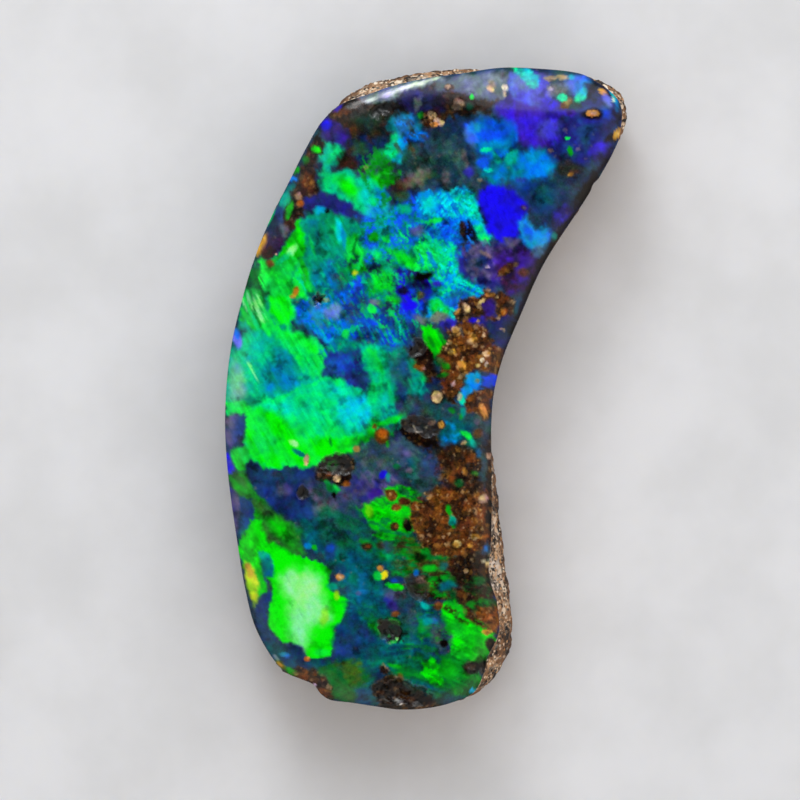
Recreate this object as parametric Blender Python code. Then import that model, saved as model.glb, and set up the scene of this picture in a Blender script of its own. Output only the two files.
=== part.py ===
"""A free-form boulder opal: one polished stone, its play-of-colour face up and its sawn ironstone back down.

The stone is lofted in rings, from the rim of the flat back out over a rough belly, up the broken wall and in
over the rounded edge of the polished face. Two caps close it: the gently domed face, with small pits where the
opal holds softer ironstone, and the flat back, with a few natural hollows. Metres, +Z up, with the origin under
the middle of the stone, on the plane that it lies on.
"""

import math

import bmesh
import bpy
import numpy as np
from mathutils import Vector, noise
from mathutils.geometry import delaunay_2d_cdt

MM = 0.001

# Driving dimensions, in millimetres
TOP_Z = 4.3
BELLY_Z = 1.25
BELLY_WANDER = 0.45
BACK_BEVEL = 0.75
BEVEL_WANDER = 0.3
EDGE_SLOPE = 0.8
CROWN_ALONG = 0.45
CROWN_ACROSS = 0.22
HALF_LENGTH = 12.9
HALF_WIDTH = 5.3
SWELL = 0.04
SWELL_LENGTH = 5.0
UNDERCUT = 0.42
LIP_RELIEF = 0.16
FULL_LIP = 0.45
RUGGED_LENGTH = 1.1
LONG_WAVES = 0.4

# Levels of the relief, in millimetres, that give the belly's line and the bevel a course of their own
BELLY_LEVEL = 3.0
BEVEL_LEVEL = 9.0

# The stone's bent middle line, seen from above: x = BEND[0] + BEND[1] y + BEND[2] y squared
BEND = (-2.6, 0.158, 0.0229)

# How finely the solid is faceted: points round each ring, millimetres between the points of the two caps, how
# far in the face's shoulder rings lie, and each pit's rings as a share of its size and a count of points
RING_POINTS = 210
SPLINE_STEPS = 24
INWARD_REACH = 3
FACE_SPACING = 0.56
BACK_SPACING = 1.1
SHOULDER_INSETS = (0.13, 0.36)
PIT_RINGS = ((0.45, 6), (1.0, 9))
SHARP_DEGREES = 28
# Room that a cap's points keep, as shares of their spacing: pit points from the rim, grid points from both
PIT_TO_RIM = 0.25
GRID_TO_RIM = 0.45
GRID_TO_PIT = 0.42

# The outline seen from above, anticlockwise. Each row is x, y, the lip and the roll: the lip is how far the
# rough wall shows outside the polished face, and the roll is how far the face's rounded edge reaches in.
UPPER_EDGE = [
    (4.55, 12.86, 0.05, 0.95),
    (3.00, 12.90, 0.05, 0.90),
    (1.40, 12.88, 0.26, 0.55),
    (-0.25, 12.76, 0.38, 0.32),
    (-1.65, 12.46, 0.42, 0.30),
    (-2.65, 12.14, 0.46, 0.34),
    (-3.50, 11.55, 0.20, 0.36),
    (-4.25, 10.78, 0.12, 0.34),
]
LEFT_SIDE = [
    (-4.90, 9.65, 0.09, 0.32),
    (-5.53, 8.35, 0.07, 0.30),
    (-6.25, 6.90, 0.06, 0.30),
    (-6.82, 5.50, 0.05, 0.32),
    (-7.30, 4.00, 0.05, 0.34),
    (-7.88, 1.55, 0.05, 0.40),
    (-8.10, -1.05, 0.05, 0.42),
    (-7.98, -3.45, 0.05, 0.38),
    (-7.55, -6.55, 0.05, 0.36),
    (-7.30, -8.00, 0.05, 0.36),
    (-6.98, -9.35, 0.06, 0.38),
]
LOWER_LEFT_CORNER = [
    (-6.55, -10.32, 0.08, 0.36),
    (-6.05, -11.12, 0.12, 0.34),
    (-5.60, -11.54, 0.14, 0.32),
    (-5.05, -11.72, 0.10, 0.30),
    (-4.56, -11.94, 0.10, 0.28),
    (-4.25, -12.30, 0.08, 0.28),
    (-3.85, -12.52, 0.06, 0.30),
]
LOWER_EDGE = [
    (-3.05, -12.62, 0.05, 0.34),
    (-1.85, -12.80, 0.05, 0.36),
    (-1.05, -12.90, 0.05, 0.36),
    (0.00, -12.86, 0.06, 0.34),
    (0.95, -12.70, 0.10, 0.30),
    (1.95, -12.35, 0.18, 0.28),
]
LOWER_RIGHT_CORNER = [
    (2.60, -11.86, 0.48, 0.28),
    (3.10, -11.20, 0.78, 0.28),
    (3.44, -10.45, 0.76, 0.28),
    (3.52, -9.65, 0.60, 0.30),
]
HOLLOW_SIDE = [
    (3.43, -8.45, 0.62, 0.30),
    (3.28, -7.35, 0.78, 0.28),
    (3.08, -5.85, 0.48, 0.30),
    (2.92, -4.25, 0.30, 0.32),
    (2.78, -2.85, 0.17, 0.34),
    (2.71, -1.65, 0.11, 0.34),
    (2.72, -0.55, 0.06, 0.34),
    (2.84, 0.22, 0.05, 0.34),
    (3.12, 1.25, 0.04, 0.34),
    (3.76, 2.80, 0.04, 0.34),
    (4.75, 4.98, 0.04, 0.34),
    (6.15, 7.15, 0.04, 0.36),
    (6.62, 7.88, 0.05, 0.36),
    (6.72, 8.14, 0.05, 0.36),
    (6.97, 8.42, 0.05, 0.38),
    (7.72, 9.82, 0.06, 0.42),
]
TIP = [
    (8.03, 10.56, 0.22, 0.40),
    (8.12, 11.06, 0.28, 0.38),
    (7.97, 11.62, 0.28, 0.42),
    (7.56, 12.10, 0.28, 0.55),
    (6.96, 12.46, 0.22, 0.75),
    (6.16, 12.70, 0.08, 0.90),
]
OUTLINE = UPPER_EDGE + LEFT_SIDE + LOWER_LEFT_CORNER + LOWER_EDGE + LOWER_RIGHT_CORNER + HOLLOW_SIDE + TIP

# The wall's section: each row is a height, as a share of the way up from the belly to the edge of the face,
# how much of the lip the wall has come in by there, and how deep its broken relief is.
WALL_SECTION = (
    (0.00, 0.00, 0.35),
    (0.20, 0.04, 0.75),
    (0.38, 0.16, 1.00),
    (0.56, 0.34, 0.95),
    (0.74, 0.58, 0.80),
    (0.89, 0.82, 0.45),
)
# The back's bevel: each row is a height as a share of the belly's, and how much of the bevel is still to come.
BACK_SECTION = ((0.0, 1.0), (0.26, 0.52), (0.60, 0.16))

# Pits in the polished face: name, centre x and y, half length, half width, degrees turned and depth
FACE_PITS = [
    ("foot_hollow", -0.90, -12.25, 1.20, 0.50, -8, 0.36),
    ("middle_hollow", -3.65, -3.10, 0.75, 0.42, 0, 0.16),
    ("pinhole", -4.28, 3.54, 0.22, 0.15, 0, 0.20),
    ("grey_pit", -4.93, -4.18, 0.26, 0.24, 0, 0.10),
    ("green_pit", -1.45, -9.70, 0.50, 0.40, -40, 0.14),
    ("brown_pit", -0.35, -8.00, 0.60, 0.42, -50, 0.12),
    ("black_pit", -0.20, -1.50, 0.80, 0.38, -10, 0.12),
    ("upper_pit", -0.30, 1.70, 0.38, 0.32, 60, 0.12),
    ("corner_pit", 2.15, -11.05, 0.50, 0.30, 20, 0.14),
    ("shoulder_pit", -1.85, 11.10, 0.45, 0.24, 35, 0.10),
]
# Hollows in the sawn back, in the same form
BACK_HOLLOWS = [
    ("long_hollow", -3.90, 5.20, 1.90, 0.80, 62, 0.24),
    ("round_hollow", -2.40, -7.60, 1.15, 0.90, 15, 0.28),
    ("small_hollow", 3.90, 9.60, 0.85, 0.55, 30, 0.18),
]


def closed_spline(rows, count):
    """count rows at equal steps along the smooth closed curve through these rows. Every column is carried."""
    rows = np.array(rows, float)
    after = np.roll(rows, -1, axis=0)
    gap = np.hypot(*(after - rows)[:, :2].T)[:, None]
    slope = (after - np.roll(rows, 1, axis=0)) / (gap + np.roll(gap, 1, axis=0))
    start, end = rows[:, None], after[:, None]
    start_pull, end_pull = (slope * gap)[:, None], (np.roll(slope, -1, axis=0) * gap)[:, None]
    t = np.linspace(0, 1, SPLINE_STEPS, endpoint=False)[None, :, None]
    dense = (
        (2 * t**3 - 3 * t**2 + 1) * start
        + (t**3 - 2 * t**2 + t) * start_pull
        + (3 * t**2 - 2 * t**3) * end
        + (t**3 - t**2) * end_pull
    ).reshape(-1, rows.shape[1])
    looped = np.vstack([dense, dense[:1]])
    along = np.concatenate([[0], np.cumsum(np.hypot(*np.diff(looped[:, :2], axis=0).T))])
    wanted = np.linspace(0, along[-1], count, endpoint=False)
    return np.column_stack([np.interp(wanted, along, column) for column in looped.T])


def inward(ring):
    """The unit direction into the stone at each point of an anticlockwise ring, smoothed a little."""
    along = np.roll(ring, -INWARD_REACH, axis=0) - np.roll(ring, INWARD_REACH, axis=0)
    return np.column_stack([-along[:, 1], along[:, 0]]) / np.hypot(*along.T)[:, None]


def ruggedness(xy, z):
    """Broken relief of the ironstone at points, from about -1 to 1. It is flatter than it is wide, like ledges."""
    heights = np.broadcast_to(z, len(xy))
    return np.array(
        [noise.fractal(Vector((x, y, 2 * h)) / RUGGED_LENGTH, 0.7, 2.1, 3) for (x, y), h in zip(xy, heights)]
    )


def pit_depth(xy, pits):
    """How deep the pits are at points: each pit is a smooth bowl."""
    depth = np.zeros(len(xy))
    for _, pit_x, pit_y, half_length, half_width, degrees, bottom in pits:
        cos, sin = math.cos(math.radians(degrees)), math.sin(math.radians(degrees))
        east, north = xy[:, 0] - pit_x, xy[:, 1] - pit_y
        u = (east * cos + north * sin) / half_length
        v = (north * cos - east * sin) / half_width
        depth = np.maximum(depth, bottom * np.clip(1 - u * u - v * v, 0, 1) ** 0.75)
    return depth


def face_height(xy, edge):
    """Height of the polished face at points. edge has rows of x, y, lip and roll along the face's edge."""
    away = np.hypot(xy[:, None, 0] - edge[None, :, 0], xy[:, None, 1] - edge[None, :, 1])
    roll = edge[away.argmin(axis=1), 3]
    rounding = EDGE_SLOPE * roll * np.exp(-away.min(axis=1) / roll)
    middle = BEND[0] + BEND[1] * xy[:, 1] + BEND[2] * xy[:, 1] ** 2
    crown = CROWN_ALONG * (xy[:, 1] / HALF_LENGTH) ** 2 + CROWN_ACROSS * ((xy[:, 0] - middle) / HALF_WIDTH) ** 2
    swell = np.array([noise.noise(Vector((x, y, 0)) / SWELL_LENGTH) for x, y in xy])
    return TOP_Z - rounding - crown - SWELL * (1 - swell)


def stone_rings(outline):
    """The loft's rings of points, and the edge of the polished face as rows of x, y, lip and roll."""
    xy, lip, roll = outline[:, :2], outline[:, 2], outline[:, 3]
    into = inward(xy)
    edge = np.column_stack([xy + into * lip[:, None], lip, roll])
    edge_z = face_height(edge[:, :2], edge)
    belly_z = BELLY_Z + BELLY_WANDER * ruggedness(xy * LONG_WAVES, BELLY_LEVEL)
    lipped = np.clip(lip / FULL_LIP, 0, 1)
    carving = UNDERCUT * (1 - lipped) + LIP_RELIEF * lipped

    def ring(inset, z):
        return np.column_stack([xy + into * inset[:, None], np.broadcast_to(z, len(xy))])

    def carved(z, depth):
        return carving * depth * (1 + ruggedness(xy, z)) / 2

    rings = []
    belly_inset = carved(belly_z, WALL_SECTION[0][2])
    bevel = BACK_BEVEL + BEVEL_WANDER * ruggedness(xy, BEVEL_LEVEL)
    for height, still_to_come in BACK_SECTION:
        rings.append(ring(belly_inset + bevel * still_to_come, belly_z * height))
    for share, come_in, depth in WALL_SECTION:
        z = belly_z + share * (edge_z - belly_z)
        rings.append(ring(lip * come_in + carved(z, depth), z))
    rings.append(ring(lip, edge_z))
    for further in SHOULDER_INSETS:
        shoulder = ring(lip + further, 0.0)
        shoulder[:, 2] = face_height(shoulder[:, :2], edge) - pit_depth(shoulder[:, :2], FACE_PITS)
        rings.append(shoulder)
    return rings, edge


def well_inside(xy, ring, clearance):
    """The points that lie inside the closed ring, at least clearance from it."""
    xy = np.asarray(xy, float).reshape(-1, 2)
    after = np.roll(ring, -1, axis=0)
    x, y = xy[:, :1], xy[:, 1:]
    spans = (ring[:, 1] > y) != (after[:, 1] > y)
    rise = np.where(after[:, 1] == ring[:, 1], 1, after[:, 1] - ring[:, 1])
    crossing = ring[:, 0] + (y - ring[:, 1]) / rise * (after[:, 0] - ring[:, 0])
    within = np.count_nonzero(spans & (crossing > x), axis=1) % 2 == 1
    clear = np.hypot(ring[:, 0] - x, ring[:, 1] - y).min(axis=1) > clearance
    return xy[within & clear]


def triangular_grid(ring, spacing):
    """Points of a triangular grid over the ring's box."""
    low, high = ring.min(axis=0), ring.max(axis=0)
    row_step = spacing * math.sqrt(3) / 2
    rows = [
        [(x + 0.5 * spacing * (row % 2), low[1] + row * row_step) for x in np.arange(low[0], high[0], spacing)]
        for row in range(math.ceil((high[1] - low[1]) / row_step))
    ]
    return np.array(rows).reshape(-1, 2)


def pit_points(pits):
    """Points that carry each pit's bowl: its middle and rings round it."""
    found = []
    for _, pit_x, pit_y, half_length, half_width, degrees, _ in pits:
        cos, sin = math.cos(math.radians(degrees)), math.sin(math.radians(degrees))
        found.append((pit_x, pit_y))
        for share, count in PIT_RINGS:
            for step in range(count):
                angle = 2 * math.pi * step / count
                u, v = share * half_length * math.cos(angle), share * half_width * math.sin(angle)
                found.append((pit_x + u * cos - v * sin, pit_y + u * sin + v * cos))
    return np.array(found)


def cap_points(ring, spacing, pits):
    """Points inside a rim: a triangular grid that makes room for the pits' own points."""
    own = well_inside(pit_points(pits), ring, PIT_TO_RIM * spacing)
    grid = well_inside(triangular_grid(ring, spacing), ring, GRID_TO_RIM * spacing)
    room = np.hypot(grid[:, None, 0] - own[None, :, 0], grid[:, None, 1] - own[None, :, 1]).min(axis=1)
    return np.vstack([own, grid[room > GRID_TO_PIT * spacing]])


def cap(mesh, rim, interior, heights, facing_up):
    """Closes the loft over a rim of vertices, through interior points at these heights."""
    flat = [Vector((v.co.x, v.co.y)) for v in rim] + [Vector(p) for p in interior]
    border = [(i, (i + 1) % len(rim)) for i in range(len(rim))]
    triangles = delaunay_2d_cdt(flat, border, [], 1, 1e-9)[2]
    vertices = rim + [mesh.verts.new((x, y, z)) for (x, y), z in zip(interior, heights)]
    for triangle in triangles:
        corners = [vertices[i] for i in triangle]
        mesh.faces.new(corners if facing_up else corners[::-1])


def loft(mesh, rings):
    """Vertices for each ring, with faces between neighbouring rings. Returns the first and last ring's vertices."""
    rows = [[mesh.verts.new(point) for point in ring] for ring in rings]
    for lower, upper in zip(rows, rows[1:]):
        for i in range(len(lower)):
            after = (i + 1) % len(lower)
            mesh.faces.new((lower[i], lower[after], upper[after], upper[i]))
    return rows[0], rows[-1]


def opal_material():
    """Plain colour for the stone as a whole: blue-green opal in dark ironstone, polished."""
    material = bpy.data.materials.new("opal_in_ironstone")
    material.use_nodes = True
    shader = material.node_tree.nodes["Principled BSDF"]
    shader.inputs["Base Color"].default_value = (0.05, 0.33, 0.24, 1)
    shader.inputs["Metallic"].default_value = 0.0
    shader.inputs["Roughness"].default_value = 0.18
    return material


def boulder_opal():
    """The whole stone as one closed solid."""
    rings, edge = stone_rings(closed_spline(OUTLINE, RING_POINTS))
    mesh = bmesh.new()
    back_rim, face_rim = loft(mesh, rings)
    face_points = cap_points(rings[-1][:, :2], FACE_SPACING, FACE_PITS)
    cap(mesh, face_rim, face_points, face_height(face_points, edge) - pit_depth(face_points, FACE_PITS), True)
    back_points = cap_points(rings[0][:, :2], BACK_SPACING, BACK_HOLLOWS)
    cap(mesh, back_rim, back_points, pit_depth(back_points, BACK_HOLLOWS), False)
    bmesh.ops.triangulate(mesh, faces=mesh.faces[:])
    bmesh.ops.scale(mesh, vec=(MM, MM, MM), verts=mesh.verts[:])
    data = bpy.data.meshes.new("boulder_opal")
    mesh.to_mesh(data)
    mesh.free()
    data.shade_smooth()
    data.set_sharp_from_angle(angle=math.radians(SHARP_DEGREES))
    data.materials.append(opal_material())
    return bpy.data.objects.new("boulder_opal", data)


def main():
    for old in list(bpy.data.objects):
        bpy.data.objects.remove(old)
    collection = bpy.data.collections.new("boulder_opal")
    bpy.context.scene.collection.children.link(collection)
    collection.objects.link(boulder_opal())


main()
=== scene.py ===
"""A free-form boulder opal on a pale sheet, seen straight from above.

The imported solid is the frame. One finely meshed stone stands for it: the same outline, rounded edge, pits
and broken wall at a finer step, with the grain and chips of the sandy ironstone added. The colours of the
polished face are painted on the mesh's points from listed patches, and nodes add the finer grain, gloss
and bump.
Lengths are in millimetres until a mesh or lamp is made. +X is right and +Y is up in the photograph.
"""

import math

import bpy
import numpy as np
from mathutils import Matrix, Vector, noise
from mathutils.geometry import delaunay_2d_cdt


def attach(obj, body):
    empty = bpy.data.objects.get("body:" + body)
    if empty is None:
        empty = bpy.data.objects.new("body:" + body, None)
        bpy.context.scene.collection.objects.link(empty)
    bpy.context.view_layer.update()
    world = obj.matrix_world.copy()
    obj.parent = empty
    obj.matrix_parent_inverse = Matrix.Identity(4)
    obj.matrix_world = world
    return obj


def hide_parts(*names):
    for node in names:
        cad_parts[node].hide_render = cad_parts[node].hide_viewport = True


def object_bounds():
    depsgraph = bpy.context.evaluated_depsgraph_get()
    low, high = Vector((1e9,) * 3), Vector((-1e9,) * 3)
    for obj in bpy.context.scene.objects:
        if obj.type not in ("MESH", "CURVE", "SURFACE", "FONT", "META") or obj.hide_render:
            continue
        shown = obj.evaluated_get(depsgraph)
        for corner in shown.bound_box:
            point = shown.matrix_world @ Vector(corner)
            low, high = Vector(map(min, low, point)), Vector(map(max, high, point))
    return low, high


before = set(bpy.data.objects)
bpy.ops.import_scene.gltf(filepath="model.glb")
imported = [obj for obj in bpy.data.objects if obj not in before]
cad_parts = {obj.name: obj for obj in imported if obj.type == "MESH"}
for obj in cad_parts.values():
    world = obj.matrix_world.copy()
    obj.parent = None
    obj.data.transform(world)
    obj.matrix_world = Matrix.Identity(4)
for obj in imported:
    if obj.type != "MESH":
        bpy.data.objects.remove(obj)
cad_low, cad_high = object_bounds()

MM = 0.001

# The stone's shape, as the solid has it

TOP_Z = 4.3
BELLY_Z = 1.25
BELLY_WANDER = 0.45
BACK_BEVEL = 0.75
BEVEL_WANDER = 0.3
EDGE_SLOPE = 0.8
CROWN_ALONG = 0.45
CROWN_ACROSS = 0.22
HALF_LENGTH = 12.9
HALF_WIDTH = 5.3
SWELL = 0.04
SWELL_LENGTH = 5.0
UNDERCUT = 0.42
LIP_RELIEF = 0.16
FULL_LIP = 0.45
RUGGED_LENGTH = 1.1
LONG_WAVES = 0.4
BELLY_LEVEL = 3.0
BEVEL_LEVEL = 9.0
BEND = (-2.6, 0.158, 0.0229)

# How finely the stone is meshed: points round each ring, rows up the wall and the bevel, how far in the rings
# of the face's shoulder lie, and the steps between the points of the two caps
RING_POINTS = 660
SPLINE_STEPS = 24
INWARD_REACH = 8
WALL_ROWS = 15
BEVEL_ROWS = 4
SHOULDER_INSETS = (0.03, 0.065, 0.11, 0.16, 0.22, 0.29, 0.36)
FACE_SPACING = 0.069
BACK_SPACING = 0.30
# How many points are worked on at once
CHUNK = 4000
# Fine relief that the solid leaves out: depth and length of the wall's grain, and of the face's rocky patches
GRAIN_DEPTH = 0.10
GRAIN_LENGTH = 0.42
FACE_GRAIN = 0.022
FACE_GRAIN_LENGTH = 0.16
BACK_GRAIN = 0.05
# How far the rings' values reach over the face, and how the pits' outlines are broken
CARRY_REACH = 0.12
ROLL_ENDS = (0.9, 2.1)
PIT_BREAK = 0.20
PIT_BREAK_LENGTH = 0.45
PIT_FLOOR = 0.4
BOWL_POWER = 0.75
# How soon the wall's and the bevel's grain sets in, how much of it stands out, and the back's grain length
GRAIN_ONSET = 2.2
CHIP_ONSET = 3
GRAIN_LIFT = 0.5
GRAIN_MOST = 1.4
FACE_GRAIN_SINK = 0.7
BACK_GRAIN_SINK = 0.35
BACK_GRAIN_LENGTH = 1.4
GRAIN_OCTAVES = 5
# Levels of the relief that give each surface a course of its own
FACE_GRAIN_LEVEL = 5.0
PIT_LEVELS = (7.0, 8.0)
PIT_FLOOR_LEVEL = 9.0
CHIP_LEVEL = 20
BACK_LEVEL = 30.0
# How far a cap's grid points are nudged, and the room they keep from the rim, as shares of their spacing
GRID_NUDGE = 0.16
NUDGE_SEED = 7
FACE_CLEARANCE = 0.6
BACK_CLEARANCE = 0.5
WELD = 1e-9

# The outline seen from above, anticlockwise. Each row is x, y, the lip and the roll: the lip is how far the
# rough wall shows outside the polished face, and the roll is how far the face's rounded edge reaches in.
UPPER_EDGE = [
    (4.55, 12.86, 0.05, 0.95),
    (3.00, 12.90, 0.05, 0.90),
    (1.40, 12.88, 0.26, 0.55),
    (-0.25, 12.76, 0.38, 0.32),
    (-1.65, 12.46, 0.42, 0.30),
    (-2.65, 12.14, 0.46, 0.34),
    (-3.50, 11.55, 0.20, 0.36),
    (-4.25, 10.78, 0.12, 0.34),
]
LEFT_SIDE = [
    (-4.90, 9.65, 0.09, 0.32),
    (-5.53, 8.35, 0.07, 0.30),
    (-6.25, 6.90, 0.06, 0.30),
    (-6.82, 5.50, 0.05, 0.32),
    (-7.30, 4.00, 0.05, 0.34),
    (-7.88, 1.55, 0.05, 0.40),
    (-8.10, -1.05, 0.05, 0.42),
    (-7.98, -3.45, 0.05, 0.38),
    (-7.55, -6.55, 0.05, 0.36),
    (-7.30, -8.00, 0.05, 0.36),
    (-6.98, -9.35, 0.06, 0.38),
]
LOWER_LEFT_CORNER = [
    (-6.55, -10.32, 0.08, 0.36),
    (-6.05, -11.12, 0.12, 0.34),
    (-5.60, -11.54, 0.14, 0.32),
    (-5.05, -11.72, 0.10, 0.30),
    (-4.56, -11.94, 0.10, 0.28),
    (-4.25, -12.30, 0.08, 0.28),
    (-3.85, -12.52, 0.06, 0.30),
]
LOWER_EDGE = [
    (-3.05, -12.62, 0.05, 0.34),
    (-1.85, -12.80, 0.05, 0.36),
    (-1.05, -12.90, 0.05, 0.36),
    (0.00, -12.86, 0.06, 0.34),
    (0.95, -12.70, 0.10, 0.30),
    (1.95, -12.35, 0.18, 0.28),
]
LOWER_RIGHT_CORNER = [
    (2.60, -11.86, 0.48, 0.28),
    (3.10, -11.20, 0.78, 0.28),
    (3.44, -10.45, 0.76, 0.28),
    (3.52, -9.65, 0.60, 0.30),
]
HOLLOW_SIDE = [
    (3.43, -8.45, 0.62, 0.30),
    (3.28, -7.35, 0.78, 0.28),
    (3.08, -5.85, 0.48, 0.30),
    (2.92, -4.25, 0.30, 0.32),
    (2.78, -2.85, 0.17, 0.34),
    (2.71, -1.65, 0.11, 0.34),
    (2.72, -0.55, 0.06, 0.34),
    (2.84, 0.22, 0.05, 0.34),
    (3.12, 1.25, 0.04, 0.34),
    (3.76, 2.80, 0.04, 0.34),
    (4.75, 4.98, 0.04, 0.34),
    (6.15, 7.15, 0.04, 0.36),
    (6.62, 7.88, 0.05, 0.36),
    (6.72, 8.14, 0.05, 0.36),
    (6.97, 8.42, 0.05, 0.38),
    (7.72, 9.82, 0.06, 0.42),
]
TIP = [
    (8.03, 10.56, 0.22, 0.40),
    (8.12, 11.06, 0.28, 0.38),
    (7.97, 11.62, 0.28, 0.42),
    (7.56, 12.10, 0.28, 0.55),
    (6.96, 12.46, 0.22, 0.75),
    (6.16, 12.70, 0.08, 0.90),
]
OUTLINE = UPPER_EDGE + LEFT_SIDE + LOWER_LEFT_CORNER + LOWER_EDGE + LOWER_RIGHT_CORNER + HOLLOW_SIDE + TIP

# Each row is a height as a share of the way up, how much of the lip the wall has come in by, and its relief
WALL_SECTION = (
    (0.00, 0.00, 0.35),
    (0.20, 0.04, 0.75),
    (0.38, 0.16, 1.00),
    (0.56, 0.34, 0.95),
    (0.74, 0.58, 0.80),
    (0.89, 0.82, 0.45),
    (1.00, 1.00, 0.00),
)
BACK_SECTION = ((0.0, 1.0), (0.26, 0.52), (0.60, 0.16), (1.0, 0.0))

# Pits in the polished face: name, centre x and y, half length, half width, degrees turned and depth
FACE_PITS = [
    ("foot_hollow", -0.90, -12.25, 1.20, 0.50, -8, 0.36),
    ("middle_hollow", -3.65, -3.10, 0.75, 0.42, 0, 0.16),
    ("pinhole", -4.28, 3.54, 0.22, 0.15, 0, 0.20),
    ("grey_pit", -4.93, -4.18, 0.26, 0.24, 0, 0.10),
    ("green_pit", -1.45, -9.70, 0.50, 0.40, -40, 0.14),
    ("brown_pit", -0.35, -8.00, 0.60, 0.42, -50, 0.12),
    ("black_pit", -0.20, -1.50, 0.80, 0.38, -10, 0.12),
    ("upper_pit", -0.30, 1.70, 0.38, 0.32, 60, 0.12),
    ("corner_pit", 2.15, -11.05, 0.50, 0.30, 20, 0.14),
    ("shoulder_pit", -1.85, 11.10, 0.45, 0.24, 35, 0.10),
]
BACK_HOLLOWS = [
    ("long_hollow", -3.90, 5.20, 1.90, 0.80, 62, 0.24),
    ("round_hollow", -2.40, -7.60, 1.15, 0.90, 15, 0.28),
    ("small_hollow", 3.90, 9.60, 0.85, 0.55, 30, 0.18),
]


def closed_spline(rows, count):
    """count rows at equal steps along the smooth closed curve through these rows. Every column is carried."""
    rows = np.array(rows, float)
    after = np.roll(rows, -1, axis=0)
    gap = np.hypot(*(after - rows)[:, :2].T)[:, None]
    slope = (after - np.roll(rows, 1, axis=0)) / (gap + np.roll(gap, 1, axis=0))
    start, end = rows[:, None], after[:, None]
    start_pull, end_pull = (slope * gap)[:, None], (np.roll(slope, -1, axis=0) * gap)[:, None]
    t = np.linspace(0, 1, SPLINE_STEPS, endpoint=False)[None, :, None]
    dense = (
        (2 * t**3 - 3 * t**2 + 1) * start
        + (t**3 - 2 * t**2 + t) * start_pull
        + (3 * t**2 - 2 * t**3) * end
        + (t**3 - t**2) * end_pull
    ).reshape(-1, rows.shape[1])
    looped = np.vstack([dense, dense[:1]])
    along = np.concatenate([[0], np.cumsum(np.hypot(*np.diff(looped[:, :2], axis=0).T))])
    wanted = np.linspace(0, along[-1], count, endpoint=False)
    return np.column_stack([np.interp(wanted, along, column) for column in looped.T])


def inward(ring):
    """The unit direction into the stone at each point of an anticlockwise ring, smoothed a little."""
    along = np.roll(ring, -INWARD_REACH, axis=0) - np.roll(ring, INWARD_REACH, axis=0)
    return np.column_stack([-along[:, 1], along[:, 0]]) / np.hypot(*along.T)[:, None]


def relief(xy, z, length, octaves):
    """Broken relief of the ironstone at points, from about -1 to 1, flatter than it is wide, like ledges."""
    heights = np.broadcast_to(z, len(xy))
    return np.array(
        [noise.fractal(Vector((x, y, 2 * h)) / length, 0.7, 2.1, octaves) for (x, y), h in zip(xy, heights)]
    )


def ruggedness(xy, z):
    return relief(xy, z, RUGGED_LENGTH, 3)


def pit_depth(xy, pits):
    """How deep the pits are at points: each pit is a smooth bowl."""
    depth = np.zeros(len(xy))
    for _, pit_x, pit_y, half_length, half_width, degrees, bottom in pits:
        cos, sin = math.cos(math.radians(degrees)), math.sin(math.radians(degrees))
        east, north = xy[:, 0] - pit_x, xy[:, 1] - pit_y
        u = (east * cos + north * sin) / half_length
        v = (north * cos - east * sin) / half_width
        depth = np.maximum(depth, bottom * np.clip(1 - u * u - v * v, 0, 1) ** BOWL_POWER)
    return depth


def nearest_edge(xy, edge):
    """Distance from points to the closed line edge, and what edge carries in its other columns near them."""
    after = np.roll(edge, -1, axis=0)
    run = after[:, :2] - edge[:, :2]
    length = (run**2).sum(axis=1)
    distance, carried = np.empty(len(xy)), np.empty((len(xy), edge.shape[1] - 2))
    for start in range(0, len(xy), CHUNK):
        part = slice(start, start + CHUNK)
        away = xy[part, None] - edge[None, :, :2]
        t = np.clip((away * run).sum(axis=2) / length, 0, 1)
        gap = np.sqrt(((away - t[:, :, None] * run) ** 2).sum(axis=2))
        distance[part] = gap.min(axis=1)
        # Several stretches share a point that is as near to them, so that no ridge stands where they meet
        weight = np.exp((distance[part, None] - gap) / CARRY_REACH)
        carried[part] = weight @ edge[:, 2:] / weight.sum(axis=1)[:, None]
    return distance, carried


def face_height(xy, edge):
    """Height of the polished face at points. edge has rows of x, y, lip and roll along the face's edge."""
    away, carried = nearest_edge(xy, edge)
    roll = carried[:, 1]
    settled = np.clip((away - ROLL_ENDS[0]) / (ROLL_ENDS[1] - ROLL_ENDS[0]), 0, 1)
    rounding = EDGE_SLOPE * roll * np.exp(-away / roll) * (1 - settled * settled * (3 - 2 * settled))
    middle = BEND[0] + BEND[1] * xy[:, 1] + BEND[2] * xy[:, 1] ** 2
    crown = CROWN_ALONG * (xy[:, 1] / HALF_LENGTH) ** 2
    crown = crown + CROWN_ACROSS * ((xy[:, 0] - middle) / HALF_WIDTH) ** 2
    swell = np.array([noise.noise(Vector((x, y, 0)) / SWELL_LENGTH) for x, y in xy])
    return TOP_Z - rounding - crown - SWELL * (1 - swell)


def face_surface(xy, edge, pits, rock):
    """The face's finished height: its pits, and the grain that stands in its rocky patches."""
    grain = FACE_GRAIN * rock * (relief(xy, FACE_GRAIN_LEVEL, FACE_GRAIN_LENGTH, 2) - FACE_GRAIN_SINK)
    return face_height(xy, edge) - pits + grain


def ragged_pits(xy):
    """Depth of the face's pits with broken outlines and floors."""
    wave = np.column_stack([relief(xy, level, PIT_BREAK_LENGTH, 3) for level in PIT_LEVELS])
    floors = 1 + PIT_FLOOR * relief(xy, PIT_FLOOR_LEVEL, 0.5 * PIT_BREAK_LENGTH, 2)
    return pit_depth(xy + PIT_BREAK * wave, FACE_PITS) * floors


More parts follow.
